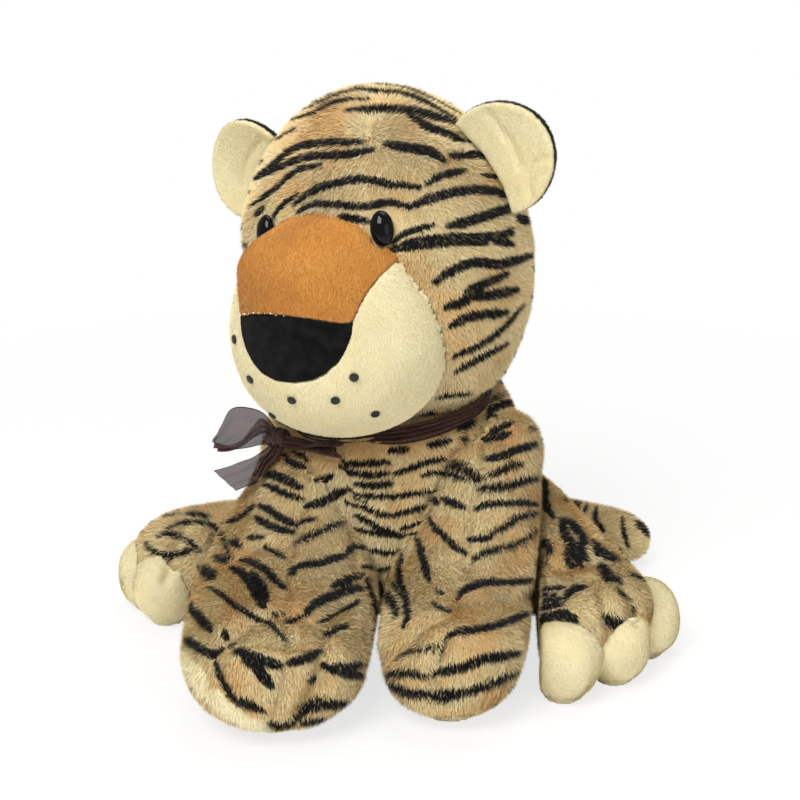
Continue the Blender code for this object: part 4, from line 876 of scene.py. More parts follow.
strokes = {name: [] for name in FURRED}    # node: [(point, half width, edge, 1 if cream)]
groups = [HEAD_STRIPES, CHEST_STRIPES, FRONT_LEG_RIGHT_STRIPES, HIND_FOOT_RIGHT_STRIPES,
          FRONT_LEG_LEFT_STRIPES, SHOULDER_LEFT_STRIPES, HIND_LEG_LEFT_STRIPES, TAIL_STRIPES, CREAM_EDGES]
for width, smoky, line in [stroke for group in groups for stroke in group]:
    for name, run, shares in carried(line, surface, owners):
        if name in strokes and len(run) > 1:
            for number, (place, share) in enumerate(zip(run, shares)):
                half = width * MM / 2 * SPREAD * tapered(share) / narrowing(trees[name], run, number)
                edge = SMOKY_EDGE if smoky == 1 else CRISP_EDGE
                strokes[name].append((place, half, edge, float(smoky == 2)))
print("stroke points:", {name: len(points) for name, points in strokes.items()})

# %% [markdown]
# The picture doesn't show the back, so its stripes are grown: a stroke starts at a free place and walks
# over the skin at right angles to the limb, swaying a little, until it is long enough, comes near another
# stroke, or reaches what the camera sees. One fixed seed makes it the same each time.

# %% Grow the stripes that the picture doesn't show
GROWN = {
    # node: (the limb's direction, spacing mm, longest mm, seed)
    "torso": ((0.0, 0.1, 1.0), 9.0, 88, 11),
    "head": ((0.15, 0.3, 1.0), 9.0, 92, 12),
    "front_leg_left": ((0.0, -0.75, -0.65), 9.0, 62, 13),
    "front_leg_right": ((0.0, -0.75, -0.65), 9.0, 62, 14),
    "hind_leg_left": ((0.6, -0.8, 0.0), 9.0, 58, 15),
    "hind_leg_right": ((-0.95, -0.3, 0.0), 9.0, 58, 16),
    "tail": ((1.0, -0.1, 0.0), 10.0, 50, 17),
}
WALK_STEP = 2.0 * MM
TRIES = 900            # starting places tried on each skin
SHORTEST = 8           # points, and a stroke with fewer isn't kept
SMOKY_SHARE = 0.2
SWAY_LENGTH = 11 * MM


def seen(place, way):
    """True where the camera sees this point of the skin."""
    to_eye = EYE_POINT - place
    if way.dot(to_eye.normalized()) < 0.12:
        return False
    hit = surface.ray_cast(place + way * 0.004, to_eye.normalized(), to_eye.length)
    return hit[0] is None


def too_near(place, taken, spacing):
    return len(taken) > 0 and float(np.min(np.sum((taken - np.array(place)) ** 2, axis=1))) < spacing ** 2


def walk(tree, start, way, axis, sign, length, taken, spacing, sway):
    """Points of one half of a grown stroke."""
    trail, place, normal, gone = [], start, way, 0.0
    while gone < length:
        ahead = normal.cross(axis)
        if ahead.length < 0.2:
            break
        turn = Matrix.Rotation(sway * math.sin(gone / SWAY_LENGTH + sway * 40), 3, normal)
        goal = place + turn @ ahead.normalized() * sign * WALK_STEP
        place, normal, _, _ = tree.find_nearest(goal)
        if too_near(place, taken, spacing) or seen(place, normal):
            break
        trail.append(place.copy())
        gone += WALK_STEP
    return trail


for node, (axis, spacing, longest, seed) in GROWN.items():
    chance = np.random.default_rng(seed)
    mesh, axis = skins[node], Vector(axis).normalized()
    tree = tree_of(mesh)
    taken = np.array([list(stroke[0]) for stroke in strokes[node]]).reshape(-1, 3)
    count = 0
    for index in chance.permutation(len(mesh.vertices))[:TRIES]:
        start, way, _, _ = tree.find_nearest(mesh.vertices[int(index)].co)
        length = longest * MM * chance.uniform(0.35, 1.0) / 2
        sway, half = chance.uniform(-0.22, 0.22), chance.uniform(1.7, 2.9) * MM
        if too_near(start, taken, spacing * MM) or seen(start, way):
            continue
        sides = [walk(tree, start, way, axis, sign, length, taken, spacing * MM, sway) for sign in (-1, 1)]
        trail = sides[0][::-1] + [start] + sides[1]
        if len(trail) < SHORTEST:
            continue
        edge = SMOKY_EDGE if chance.uniform() < SMOKY_SHARE else CRISP_EDGE
        for number, place in enumerate(trail):
            strokes[node].append((place, half * tapered(number / (len(trail) - 1)), edge, 0.0))
        taken = np.vstack([taken, [list(place) for place in trail]])
        count += 1
    print(node, "grew", count, "strokes")

# %% Keep the strokes as point clouds that the node trees can search
def stroke_cloud(name, points):
    """Loose points, each with its stroke's half width there, its edge and 1 if it is cream."""
    cloud = bpy.data.meshes.new(name)
    cloud.from_pydata([tuple(point[0]) for point in points], [], [])
    for number, attribute in enumerate(("half_width", "edge", "cream"), start=1):
        set_values(cloud, attribute, "FLOAT", [point[number] for point in points])
    return new_object(name, cloud)


stroke_clouds = {node: stroke_cloud(node + "_strokes", points) for node, points in strokes.items()}
FAR_BELOW = (0.0, 0.0, -9.0)      # one point out of reach leaves a piece plain
plain_cloud = stroke_cloud("no_strokes", [(FAR_BELOW, 0.1 * MM, 0.1 * MM, 0.0)])
print("clouds:", len(stroke_clouds))

# %% [markdown]
# Where the pile grows, and which way it lies
# Pile is clipped short where another piece presses on it, and around the eyes. On the body it lies down
# and back, on the paws towards the toes. Both are kept on the skin: "pile" as a share of the full length
# and "comb" as a direction.

# %% Comb the skins
COMBS = {
    "torso": (0.0, 0.25, -1.0), "head": (0.05, 0.35, -1.0), "front_leg_left": (0.0, -0.55, -0.8),
    "front_leg_right": (0.0, -0.55, -0.8), "hind_leg_left": (0.55, -0.7, -0.4),
    "hind_leg_right": (-0.9, -0.25, -0.4), "tail": (1.0, 0.0, -0.3), "muzzle": (0.0, 0.1, -1.0),
    "muzzle_bridge": (0.1, 0.2, 1.0), "front_sole_left": (0.3, -0.6, -0.6),
    "front_sole_right": (-0.3, -0.6, -0.6), "toe_pad_left": (0.4, -0.7, -0.5),
    "toe_pad_right": (-0.7, -0.4, -0.5), "ear_front_left": (0.3, 0.0, 1.0), "ear_front_right": (-0.3, 0.0, 1.0),
    "ear_back_left": (0.5, 0.2, 1.0), "ear_back_right": (-0.5, 0.2, 1.0),
}
CLEAR_ROOM = 9 * MM      # pile with less room than this before it is clipped
SWIRL_SIZE = 42 * MM
SWIRL = 0.75             # how far swirls turn the pile, against its main direction
EYE_ROOM = 22 * MM       # pile is shorter up to about this far from an eye's middle
UNDERSIDE = 1.6 * MM     # no pile below this height, where the skin looks down
surface, owners = whole_surface()
eyes = [sum(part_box(name), Vector()) / 2 for name in ("eye_left", "eye_right")]


def comb_skin(node, direction):
    """Keep on a skin how long its pile is and which way it lies."""
    mesh = skins[node]
    places, ways = points_of(mesh), normals_of(mesh)
    pile, combs = np.ones(len(places)), np.zeros((len(places), 3))
    direction = Vector(direction).normalized()
    for index, (place, way) in enumerate(zip(places, ways)):
        place, way = Vector(place), Vector(way)
        hit = surface.ray_cast(place + way * 0.0006, way, CLEAR_ROOM)
        if hit[0] is not None:
            pile[index] = max(0.0, hit[3] / CLEAR_ROOM * 1.3 - 0.3)
        if place.z < UNDERSIDE and way.z < -0.4:
            pile[index] = 0.0
        if node == "head":
            pile[index] *= min(1.0, max(0.2, min((place - eye).length for eye in eyes) / EYE_ROOM - 0.35))
        flat = direction + noise.noise_vector(place / SWIRL_SIZE) * SWIRL
        flat -= way * flat.dot(way)
        combs[index] = flat.normalized() if flat.length > 0.05 else way.orthogonal().normalized()
    set_values(mesh, "pile", "FLOAT", pile)
    set_values(mesh, "comb", "FLOAT_VECTOR", combs)


for node, direction in COMBS.items():
    comb_skin(node, direction)
print("combed", len(COMBS), "skins")

# %% [markdown]
# Plush
# Long-pile polyester plush: every fibre is dull, but together they catch light at the edge, which is what
# sheen adds. The tan is printed in drifts of sand, gold and grey, the roots lie in shade, and each blade
# differs a little. The stripe, a blade's own tone and its height from root to tip come as attributes.

# %% Plush materials
PATCH_SCALE = 1 / (45 * MM)     # drifts of colour about 45 mm across
TIP_SHARE = 1.08                # painted light: a blade's tip is this much lighter than its middle tone, the other end of the painted shade at its root
INK, SOLE_CREAM = "#0F0E0E", "#FCF3D0"


def open_material(name):
    made = bpy.data.materials.new(name)
    made.use_nodes = True
    made.node_tree.nodes.clear()
    return made, made.node_tree


def close_material(tree, colour, roughness, sheen=0.0, bump=None, **more):
    shader = add(tree, "ShaderNodeBsdfPrincipled", {"Base Color": colour, "Roughness": roughness,
                                                     "Sheen Weight": sheen, "Sheen Roughness": 0.45, **more})
    if bump is not None:
        tree.links.new(bump, shader.inputs["Normal"])
    add(tree, "ShaderNodeOutputMaterial", {"Surface": shader.outputs[0]})
    return shader


def pile_colour(tree, dark, light, drift, grey, root_share):
    """A blade's colour: its own tone between dark and light, drifts of two more colours, shade at the root."""
    place = add(tree, "ShaderNodeTexCoord").outputs["Object"]
    tuft = add(tree, "ShaderNodeAttribute", attribute_name="tuft").outputs["Fac"]
    tip = add(tree, "ShaderNodeAttribute", attribute_name="tip").outputs["Fac"]
    tone = mixed(tree, tuft, linear(dark), linear(light))
    warm = add(tree, "ShaderNodeTexNoise", {"Vector": place, "Scale": PATCH_SCALE, "Detail": 2.0}).outputs["Fac"]
    tone = mixed(tree, ranged(tree, warm, 0.46, 0.66, 0.0, 0.6), tone, linear(drift))
    cool = add(tree, "ShaderNodeTexNoise", {"Vector": place, "Scale": PATCH_SCALE * 1.3, "Detail": 2.0,
                                            "Distortion": 0.6}, noise_dimensions="4D")
    cool.inputs["W"].default_value = 3.0
    tone = mixed(tree, ranged(tree, cool.outputs["Fac"], 0.52, 0.75, 0.0, 0.5), tone, linear(grey))
    return vectors(tree, "SCALE", tone, Scale=ranged(tree, tip, 0.0, 1.0, root_share, TIP_SHARE))


def plush(name, dark, light, drift, grey, root_share=0.62, striped=False, sheen=0.14):
    made, tree = open_material(name)
    colour = pile_colour(tree, dark, light, drift, grey, root_share)
    if striped:
        stripe, cream = [add(tree, "ShaderNodeAttribute", attribute_name=name).outputs["Fac"]
                         for name in ("stripe", "cream")]
        colour = mixed(tree, stripe, colour, mixed(tree, cream, linear(INK), linear(SOLE_CREAM)))
    close_material(tree, colour, 0.85, sheen, **{"Specular IOR Level": 0.25})
    return made


striped_plush = plush("striped polyester plush", "#D9BC80", "#FDF0C4", "#E5B56C", "#D8CCA4", 0.80, True)
cream_plush = plush("cream short plush", "#EBDFAE", "#FFF6D4", "#F6E8B6", "#E6DEBA", 0.84)
bridge_plush = plush("orange short plush", "#B5712B", "#E6A955", "#CF8738", "#BC7B36", 0.82)
black_plush = plush("black plush", "#0C0C0C", "#262523", "#171616", "#2C2A28", 0.7, sheen=0.15)
print("plush materials: 4")

# %% [markdown]
# Planting the pile
# One tree plants it all. It scatters points on a skin, gives each a length, a lean and a twist, and puts a
# blade there: one thin triangle, broad at its root. Before that it asks the stroke cloud for the nearest
# stroke, and so knows whether the blade is black. Chance decides near an edge, so that edges are fuzzy.

# %% The stripe group and the pile tree
def new_tree(name, sockets, results=("Geometry",), result_kind="NodeSocketGeometry"):
    """An empty tree with its named inputs and outputs, and the sockets that its inputs give."""
    tree = bpy.data.node_groups.new(name, "GeometryNodeTree")
    for socket, kind in sockets.items():
        tree.interface.new_socket(name=socket, in_out="INPUT", socket_type="NodeSocket" + kind)
    for socket in results:
        tree.interface.new_socket(name=socket, in_out="OUTPUT", socket_type=result_kind)
    return tree, add(tree, "NodeGroupInput").outputs


def form_of(tree, holder):
    return add(tree, "GeometryNodeObjectInfo", {"Object": holder}).outputs["Geometry"]


def place_of(tree):
    return add(tree, "GeometryNodeInputPosition").outputs[0]


def named(tree, name, kind="FLOAT"):
    return add(tree, "GeometryNodeInputNamedAttribute", {"Name": name}, data_type=kind).outputs[0]


def chance_of(tree, low, high, seed, output=1):
    """A random number for each point, or with output 0 a random vector."""
    if output:
        values, kind = {"Min": low, "Max": high, "Seed": seed}, "FLOAT"
    else:
        values, kind = {0: (low,) * 3, 1: (high,) * 3, "Seed": seed}, "FLOAT_VECTOR"
    return add(tree, "FunctionNodeRandomValue", values, data_type=kind).outputs[output]


def stored(tree, geometry, name, value):
    return add(tree, "GeometryNodeStoreNamedAttribute", {"Geometry": geometry, "Name": name, "Value": value},
               data_type="FLOAT", domain="POINT").outputs[0]


def stripe_at(tree, cloud, place):
    """Ask the stripe group about one place."""
    asked = add(tree, "GeometryNodeGroup", node_tree=stripe_group)
    tree.links.new(cloud, asked.inputs["Strokes"])
    tree.links.new(place, asked.inputs["Place"])
    return asked.outputs


def build_stripe_group():
    tree, given = new_tree("stripe share", {"Strokes": "Object", "Place": "Vector"}, ("Share", "Cream"),
                           "NodeSocketFloat")
    cloud = form_of(tree, given["Strokes"])
    nearest = add(tree, "GeometryNodeSampleNearest", {"Geometry": cloud, "Sample Position": given["Place"]},
                  domain="POINT").outputs["Index"]

    def sampled(value, kind="FLOAT"):
        return add(tree, "GeometryNodeSampleIndex", {"Geometry": cloud, "Value": value, "Index": nearest},
                   data_type=kind, domain="POINT").outputs["Value"]

    half, edge, cream = [sampled(named(tree, name)) for name in ("half_width", "edge", "cream")]
    gap = add(tree, "ShaderNodeVectorMath", {0: given["Place"], 1: sampled(place_of(tree), "FLOAT_VECTOR")},
              operation="DISTANCE").outputs["Value"]
    within = maths(tree, "DIVIDE", maths(tree, "SUBTRACT", gap, half), edge)
    add(tree, "NodeGroupOutput", {"Share": maths(tree, "SUBTRACT", 0.5, within, clamp=True), "Cream": cream})
    return tree


SHORT_BLADE, LONG_BLADE = 0.72, 1.18    # blades differ in length between these shares
SHOWN_SHARE = 0.42      # the part of a blade that is seen lies this share of its length from its root
HARDNESS = 5.0          # how sharply chance turns a blade black or leaves it plain
LEAST_PILE = 0.08       # skin with less pile than this stays bare


def build_pile_tree():
    tree, given = new_tree("pile", {
        "Geometry": "Geometry", "Strokes": "Object", "Blade": "Object", "Blades per m2": "Float",
        "Length": "Float", "Width": "Float", "Lean": "Float", "Unrest": "Float", "Seed": "Int",
        "Material": "Material"})
    scatter = add(tree, "GeometryNodeDistributePointsOnFaces", {"Mesh": given["Geometry"],
                  "Density": given["Blades per m2"], "Seed": given["Seed"]})
    pile, comb = named(tree, "pile"), named(tree, "comb", "FLOAT_VECTOR")
    normal = add(tree, "GeometryNodeCaptureAttribute", {"Geometry": scatter.outputs["Points"]})
    normal.capture_items.new("VECTOR", "Normal")
    tree.links.new(scatter.outputs["Normal"], normal.inputs["Normal"])
    upright = normal.outputs["Normal"]
    # How long a blade is, which way it leans and how it is twisted
    length = maths(tree, "MULTIPLY", given["Length"], pile)
    length = maths(tree, "MULTIPLY", length, chance_of(tree, SHORT_BLADE, LONG_BLADE, 3))
    loose = vectors(tree, "SCALE", chance_of(tree, -1.0, 1.0, 5, 0), Scale=given["Unrest"])
    lain = add(tree, "ShaderNodeMix", {"Factor": given["Lean"], 4: upright, 5: comb},
               data_type="VECTOR").outputs[1]
    way = vectors(tree, "NORMALIZE", vectors(tree, "ADD", lain, loose))
    across = vectors(tree, "NORMALIZE", vectors(tree, "CROSS_PRODUCT", way, upright))
    across = vectors(tree, "ADD", across, chance_of(tree, -0.5, 0.5, 7, 0))
    turn = add(tree, "FunctionNodeAxesToRotation", {0: way, 1: across}, primary_axis="Z", secondary_axis="X")
    # Whether it is black or cream, read where the eye sees it
    reach = maths(tree, "MULTIPLY", length, SHOWN_SHARE)
    shown = vectors(tree, "ADD", place_of(tree), vectors(tree, "SCALE", comb, Scale=reach))
    stripe = stripe_at(tree, given["Strokes"], shown)
    black = maths(tree, "SUBTRACT", stripe["Share"], chance_of(tree, 0.0, 1.0, 9))
    black = maths(tree, "MULTIPLY_ADD", black, HARDNESS, 0.5, clamp=True)
    kept = normal.outputs["Geometry"]
    for name, value in (("stripe", black), ("cream", stripe["Cream"]), ("tuft", chance_of(tree, 0.0, 1.0, 11))):
        kept = stored(tree, kept, name, value)
    # The blade itself
    size = add(tree, "ShaderNodeCombineXYZ", {0: given["Width"], 1: given["Width"], 2: length}).outputs[0]
    grows = add(tree, "FunctionNodeCompare", {0: pile, 1: LEAST_PILE}, data_type="FLOAT",
                operation="GREATER_THAN").outputs[0]
    blades = add(tree, "GeometryNodeInstanceOnPoints", {"Points": kept, "Selection": grows, "Instance":
                 form_of(tree, given["Blade"]), "Rotation": turn.outputs[0], "Scale": size}).outputs[0]
    real = add(tree, "GeometryNodeRealizeInstances", {"Geometry": blades}).outputs[0]
    real = add(tree, "GeometryNodeSetMaterial", {"Geometry": real, "Material": given["Material"]}).outputs[0]
    add(tree, "NodeGroupOutput", {0: real})
    return tree


stripe_group = build_stripe_group()
pile_tree = build_pile_tree()
print("pile tree nodes:", len(pile_tree.nodes))

# %% A blade, and a paint tree that keeps the stripes on the skin itself
blade_mesh = bpy.data.meshes.new("blade")
blade_mesh.from_pydata([(-0.5, 0, 0), (0.5, 0, 0), (0, 0, 1)], [], [(0, 1, 2)])
set_values(blade_mesh, "tip", "FLOAT", [0.0, 0.0, 1.0])
blade = new_object("blade", blade_mesh)

paint_tree, given = new_tree("paint", {"Geometry": "Geometry", "Strokes": "Object"})
stripe = stripe_at(paint_tree, given["Strokes"], place_of(paint_tree))
painted = stored(paint_tree, given["Geometry"], "stripe", stripe["Share"])
painted = stored(paint_tree, painted, "cream", stripe["Cream"])
add(paint_tree, "NodeGroupOutput", {0: painted})


def run_tree(name, mesh, tree, values):
    """Run a tree on a mesh and keep only the plain result."""
    work = new_object(name, mesh)
    modifier = work.modifiers.new("tree", "NODES")
    modifier.node_group = tree
    for item in tree.interface.items_tree:
        if item.name in values and item.in_out == "INPUT":
            modifier[item.identifier] = values[item.name]
    result = plain_mesh(work)
    bpy.data.objects.remove(work)
    result.name = name
    return result


def lay_out_blades(mesh):
    """Each blade gets its own small place in the sheet, so that its colour can be kept there."""
    count = len(mesh.polygons)
    side = math.ceil(math.sqrt(count))
    number = np.arange(count)
    corner = np.stack([number % side, number // side], axis=1) / side
    shape = np.array([(0.2, 0.2), (0.8, 0.2), (0.5, 0.8)]) / side
    layer = mesh.uv_layers.new(name="OFBake")
    layer.data.foreach_set("uv", (corner[:, None, :] + shape[None]).astype(np.float32).ravel())


PILE_FLOOR = 0.3 * MM      # no blade's point goes lower


def plant(name, node, strokes_object, material, blades, length, width, lean, unrest, seed):
    """The pile of one skin, as a plain mesh object. Blades are per square millimetre, sizes in mm."""
    values = {"Strokes": strokes_object, "Blade": blade, "Blades per m2": blades * 1e6, "Length": length * MM,
              "Width": width * MM, "Lean": lean, "Unrest": unrest, "Seed": seed, "Material": material}
    mesh = run_tree(name, skins[node], pile_tree, values)
    places = points_of(mesh)
    places[:, 2] = np.maximum(places[:, 2], PILE_FLOOR)
    move_points(mesh, places)
    lay_out_blades(mesh)
    return new_object(name, mesh)


print("blade and paint tree ready")

# %% [markdown]
# The furred pieces
# Head, torso, legs and tail take the long striped pile, about 5 mm, lying half over. The skin below keeps
# the same stripes, so that no light ground shines through a black stroke.

# %% Plant the striped pieces
LONG_PILE = {
    # node: (blades per mm2, length mm)
    "head": (1.30, 4.9), "torso": (1.2, 5.0), "front_leg_left": (1.4, 5.4), "front_leg_right": (1.4, 5.4),
    "hind_leg_left": (1.4, 5.2), "hind_leg_right": (1.4, 5.2), "tail": (1.4, 5.0),
}
LONG_WIDTH, LONG_LEAN, LONG_UNREST = 0.85, 0.5, 0.2
# The skins carry no tip attribute, so the plush material darkens them with the painted shade of a blade's root.
LONG_GROUND, SHORT_GROUND = 0.35, 0.45    # the skin's own tone between a blade's dark and light one
finished = {}
for seed, (node, (blades, length)) in enumerate(LONG_PILE.items()):
    painted = run_tree(node + "_skin", skins[node], paint_tree, {"Strokes": stroke_clouds[node]})
    skins[node] = painted
    set_values(painted, "tuft", "FLOAT", np.full(len(painted.vertices), LONG_GROUND))
    skin = new_object(node + "_skin", painted)
    pile = plant(node + "_pile", node, stroke_clouds[node], striped_plush, blades, length, LONG_WIDTH,
                 LONG_LEAN, LONG_UNREST, 100 + seed)
    finished[node] = (skin, pile, striped_plush, "striped_plush")
    print(node, "skin", len(skin.data.polygons), "faces, pile", len(pile.data.polygons), "blades")

# %% [markdown]
# The short pieces
# Muzzle, soles, toe pads, ear fronts and the bridge are of short velboa plush, 2 mm high and almost lying
# flat. It gives a soft grain instead of tufts. The ear backs have a short black pile.

# %% Plant the short-piled pieces
SHORT_PILE = {
    # node: (material, slot, blades per mm2, length mm, width mm, lean)
    "muzzle": (cream_plush, "cream_plush", 1.9, 2.3, 0.5, 0.72),
    "muzzle_bridge": (bridge_plush, "bridge_plush", 2.4, 2.4, 0.55, 0.72),
    "front_sole_left": (cream_plush, "cream_plush", 1.4, 2.4, 0.6, 0.7),
    "front_sole_right": (cream_plush, "cream_plush", 1.4, 2.4, 0.6, 0.7),
    "toe_pad_left": (cream_plush, "cream_plush", 1.7, 2.4, 0.6, 0.7),
    "toe_pad_right": (cream_plush, "cream_plush", 1.7, 2.4, 0.6, 0.7),
    "ear_front_left": (cream_plush, "ear_front_plush", 2.0, 2.0, 0.5, 0.7),
    "ear_front_right": (cream_plush, "ear_front_plush", 2.0, 2.0, 0.5, 0.7),
    "ear_back_left": (black_plush, "ear_back_plush", 2.6, 1.8, 0.55, 0.6),
    "ear_back_right": (black_plush, "ear_back_plush", 2.6, 1.8, 0.55, 0.6),
}
SHORT_UNREST = 0.16
for seed, (node, (material, slot, blades, length, width, lean)) in enumerate(SHORT_PILE.items()):
    mesh = skins[node]
    set_values(mesh, "tuft", "FLOAT", np.full(len(mesh.vertices), SHORT_GROUND))
    skin = new_object(node + "_skin", mesh)
    pile = plant(node + "_pile", node, plain_cloud, material, blades, length, width, lean, SHORT_UNREST, 200 + seed)
    finished[node] = (skin, pile, material, slot)
    print(node, "skin", len(mesh.polygons), "faces, pile", len(pile.data.polygons), "blades")


def dress(piece, material, node, body):
    """Give a finished piece its cloth, and let it stand for its solid on that solid's body."""
    piece.data.materials.clear()
    piece.data.materials.append(material)
    piece.data.shade_smooth()
    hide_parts(node)
    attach(piece, body)


for node, (skin, pile, material, slot) in finished.items():
    body = SKINS[node][0]
    dress(skin, material, node, body)
    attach(pile, body)
for holder in [*stroke_clouds.values(), plain_cloud, blade]:
    bpy.data.objects.remove(holder)
print("dressed", len(finished), "stuffed pieces")

# %% [markdown]
# Nose
# Black polyester felt: no pile, short matted fibres that scatter light. The colour is nearly black, with
# grey fibres lying in all directions, drawn as stretched noise about 1 mm long.

# %% Nose of felt
def felt_material():
    made, tree = open_material("black polyester felt")
    place = add(tree, "ShaderNodeTexCoord").outputs["Object"]
    fibre = add(tree, "ShaderNodeTexNoise", {"Vector": place, "Scale": 1 / (0.9 * MM), "Detail": 4.0,
                                             "Roughness": 0.65, "Distortion": 1.5}).outputs["Fac"]
    cloudy = add(tree, "ShaderNodeTexNoise", {"Vector": place, "Scale": 1 / (9 * MM), "Detail": 2.0}).outputs["Fac"]
    light = ranged(tree, maths(tree, "MULTIPLY", fibre, cloudy), 0.18, 0.42, 0.0, 1.0)
    colour = mixed(tree, light, linear("#0A0A0A"), linear("#1C1B1B"))
    bump = add(tree, "ShaderNodeBump", {"Strength": 0.5, "Distance": 0.0004, "Height": fibre}).outputs[0]
    close_material(tree, colour, 0.95, 0.03, bump, **{"Specular IOR Level": 0.1})
    return made


nose = new_object("nose_felt", skins["nose"])
dress(nose, felt_material(), "nose", "head")
print("nose faces", len(nose.data.polygons))

# %% [markdown]
# Eyes
# Moulded safety eyes of acrylic: a high dome with a thin flat rim, polished. The solids are right in size
# but faceted, and a polished dome shows each facet, so a fine relaxed copy stands for them.

# %% Eyes
acrylic, tree = open_material("black polished acrylic")
close_material(tree, linear("#060607"), 0.06, **{"IOR": 1.49, "Specular IOR Level": 0.22})
for side in ("left", "right"):
    mesh = relaxed("eye_dome_" + side, merged_copy("eye_" + side), 0.55, 9, -0.05)
    dress(new_object("eye_dome_" + side, mesh), acrylic, "eye_" + side, "head")
print("eyes: 2")

# %% [markdown]
# Whisker dots
# Each dot is a small pad of satin stitch: black rayon thread laid side by side, with a soft shine along it.

# %% Whisker dots
def thread_material():
    made, tree = open_material("black rayon thread")
    place = add(tree, "ShaderNodeTexCoord").outputs["Object"]
    lines = add(tree, "ShaderNodeTexWave", {"Vector": place, "Scale": 1 / (2.2 * MM), "Distortion": 0.6,
                                            "Detail": 1.0}, bands_direction="X").outputs["Fac"]
    colour = mixed(tree, lines, linear("#080808"), linear("#201E1D"))
    bump = add(tree, "ShaderNodeBump", {"Strength": 0.8, "Distance": 0.0003, "Height": lines}).outputs[0]
    close_material(tree, colour, 0.45, 0.0, bump)
    return made


thread = thread_material()
for name in sorted(name for name in NODES if name.startswith("whisker_dot_")):
    mesh = relaxed(name.replace("whisker_dot", "stitched_dot"), merged_copy(name), 0.45, 4, -0.35)
    dress(new_object(mesh.name, mesh), thread, name, "head")
print("whisker dots: 7")

# %% Washers inside the head
washer_plastic, tree = open_material("white polyethylene")
close_material(tree, linear("#DEDEDA"), 0.45)
for side in ("left", "right"):
    node = NODES["eye_washer_" + side]
    node.data.materials.clear()
    node.data.materials.append(washer_plastic)
print("washers: 2")

# %% [markdown]
# Organza
# Sheer organza of fine, dark brown nylon yarn in plain weave. One layer lets a seventh of the light through
# and looks grey before a white wall, two layers look nearly black, and the selvedge is closed and darker.
# The weave is about 0.3 mm, too fine to show, so it is drawn as faint lines 1.2 mm apart.

# %% Organza on the ribbon's sheets
def organza_material(name, dark, light, alpha):
    made, tree = open_material(name)
    place = add(tree, "ShaderNodeUVMap", uv_map="ribbon").outputs["UV"]
    cloud = add(tree, "ShaderNodeTexNoise", {"Vector": place, "Scale": 1 / (11 * MM), "Detail": 2.0}).outputs["Fac"]
    weave = add(tree, "ShaderNodeTexWave", {"Vector": place, "Scale": 1 / (7.5 * MM), "Distortion": 1.5,
                                            "Detail": 1.0}, bands_direction="DIAGONAL").outputs["Fac"]
    share = ranged(tree, maths(tree, "MULTIPLY_ADD", weave, 0.35, cloud), 0.35, 1.0)
    colour = mixed(tree, share, linear(dark), linear(light))
    close_material(tree, colour, 0.5, 0.15, None, **{"Alpha": alpha, "Specular IOR Level": 0.3})
    return made


organza = organza_material("brown nylon organza", "#2C1714", "#4B2C27", 0.85)
selvedge = organza_material("brown nylon selvedge", "#150A09", "#2A1613", 0.97)
for node, mesh in ribbons.items():
    mesh.materials.append(organza)
    mesh.materials.append(selvedge)
    sheet = new_object(node + "_organza", mesh)
    mesh.shade_smooth()
    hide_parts(node)
    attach(sheet, "torso")
print("ribbon sheets:", len(ribbons))

# %% [markdown]
# Stitches on the nose
# The nose is closed to the bridge by hand with white thread. Only small loops of it stand out of the pile,
# one every 5.5 mm, so one small loop is made and a node tree sets it along the seam.

# %% Set the stitches along the seam
SEAM_PX = [(240, 317), (246, 314), (254, 313), (265, 313), (279, 314.5), (293, 316.5), (310, 319), (326, 321.5),
           (344, 324)]
STITCH_SPACING = 5.5 * MM
STITCH_SIZE = (0.85, 0.6, 0.6)    # mm, half its length, width and height
STITCH_LIFT = 1.2 * MM

stitch_form = bmesh.new()
bmesh.ops.create_uvsphere(stitch_form, u_segments=8, v_segments=6, radius=1.0)
bmesh.ops.scale(stitch_form, vec=[size * MM for size in STITCH_SIZE], verts=stitch_form.verts)
stitch_mesh = bpy.data.meshes.new("stitch")
stitch_form.to_mesh(stitch_mesh)
stitch_form.free()
stitch = new_object("stitch", stitch_mesh)

white_thread, tree = open_material("white cotton thread")
place = add(tree, "ShaderNodeTexCoord").outputs["Object"]
twist = add(tree, "ShaderNodeTexNoise", {"Vector": place, "Scale": 1 / (0.4 * MM)}).outputs["Fac"]
close_material(tree, mixed(tree, twist, linear("#D9D2C0"), linear("#FFFDF6")), 0.8, 0.1)

stitch_tree, given = new_tree("stitches", {"Geometry": "Geometry", "Stitch": "Object", "Spacing": "Float",
                                           "Seed": "Int", "Material": "Material"})
seam = add(stitch_tree, "GeometryNodeMeshToCurve", {"Mesh": given["Geometry"]}).outputs[0]
spots = add(stitch_tree, "GeometryNodeCurveToPoints", {"Curve": seam, "Length": given["Spacing"]}, mode="LENGTH")
size = chance_of(stitch_tree, 0.55, 1.15, given["Seed"])
rows = add(stitch_tree, "GeometryNodeInstanceOnPoints", {
    "Points": spots.outputs["Points"], "Instance": form_of(stitch_tree, given["Stitch"]),
    "Rotation": spots.outputs["Rotation"], "Scale": size}).outputs[0]
rows = add(stitch_tree, "GeometryNodeRealizeInstances", {"Geometry": rows}).outputs[0]
rows = add(stitch_tree, "GeometryNodeSetMaterial", {"Geometry": rows, "Material": given["Material"]}).outputs[0]
add(stitch_tree, "NodeGroupOutput", {0: rows})

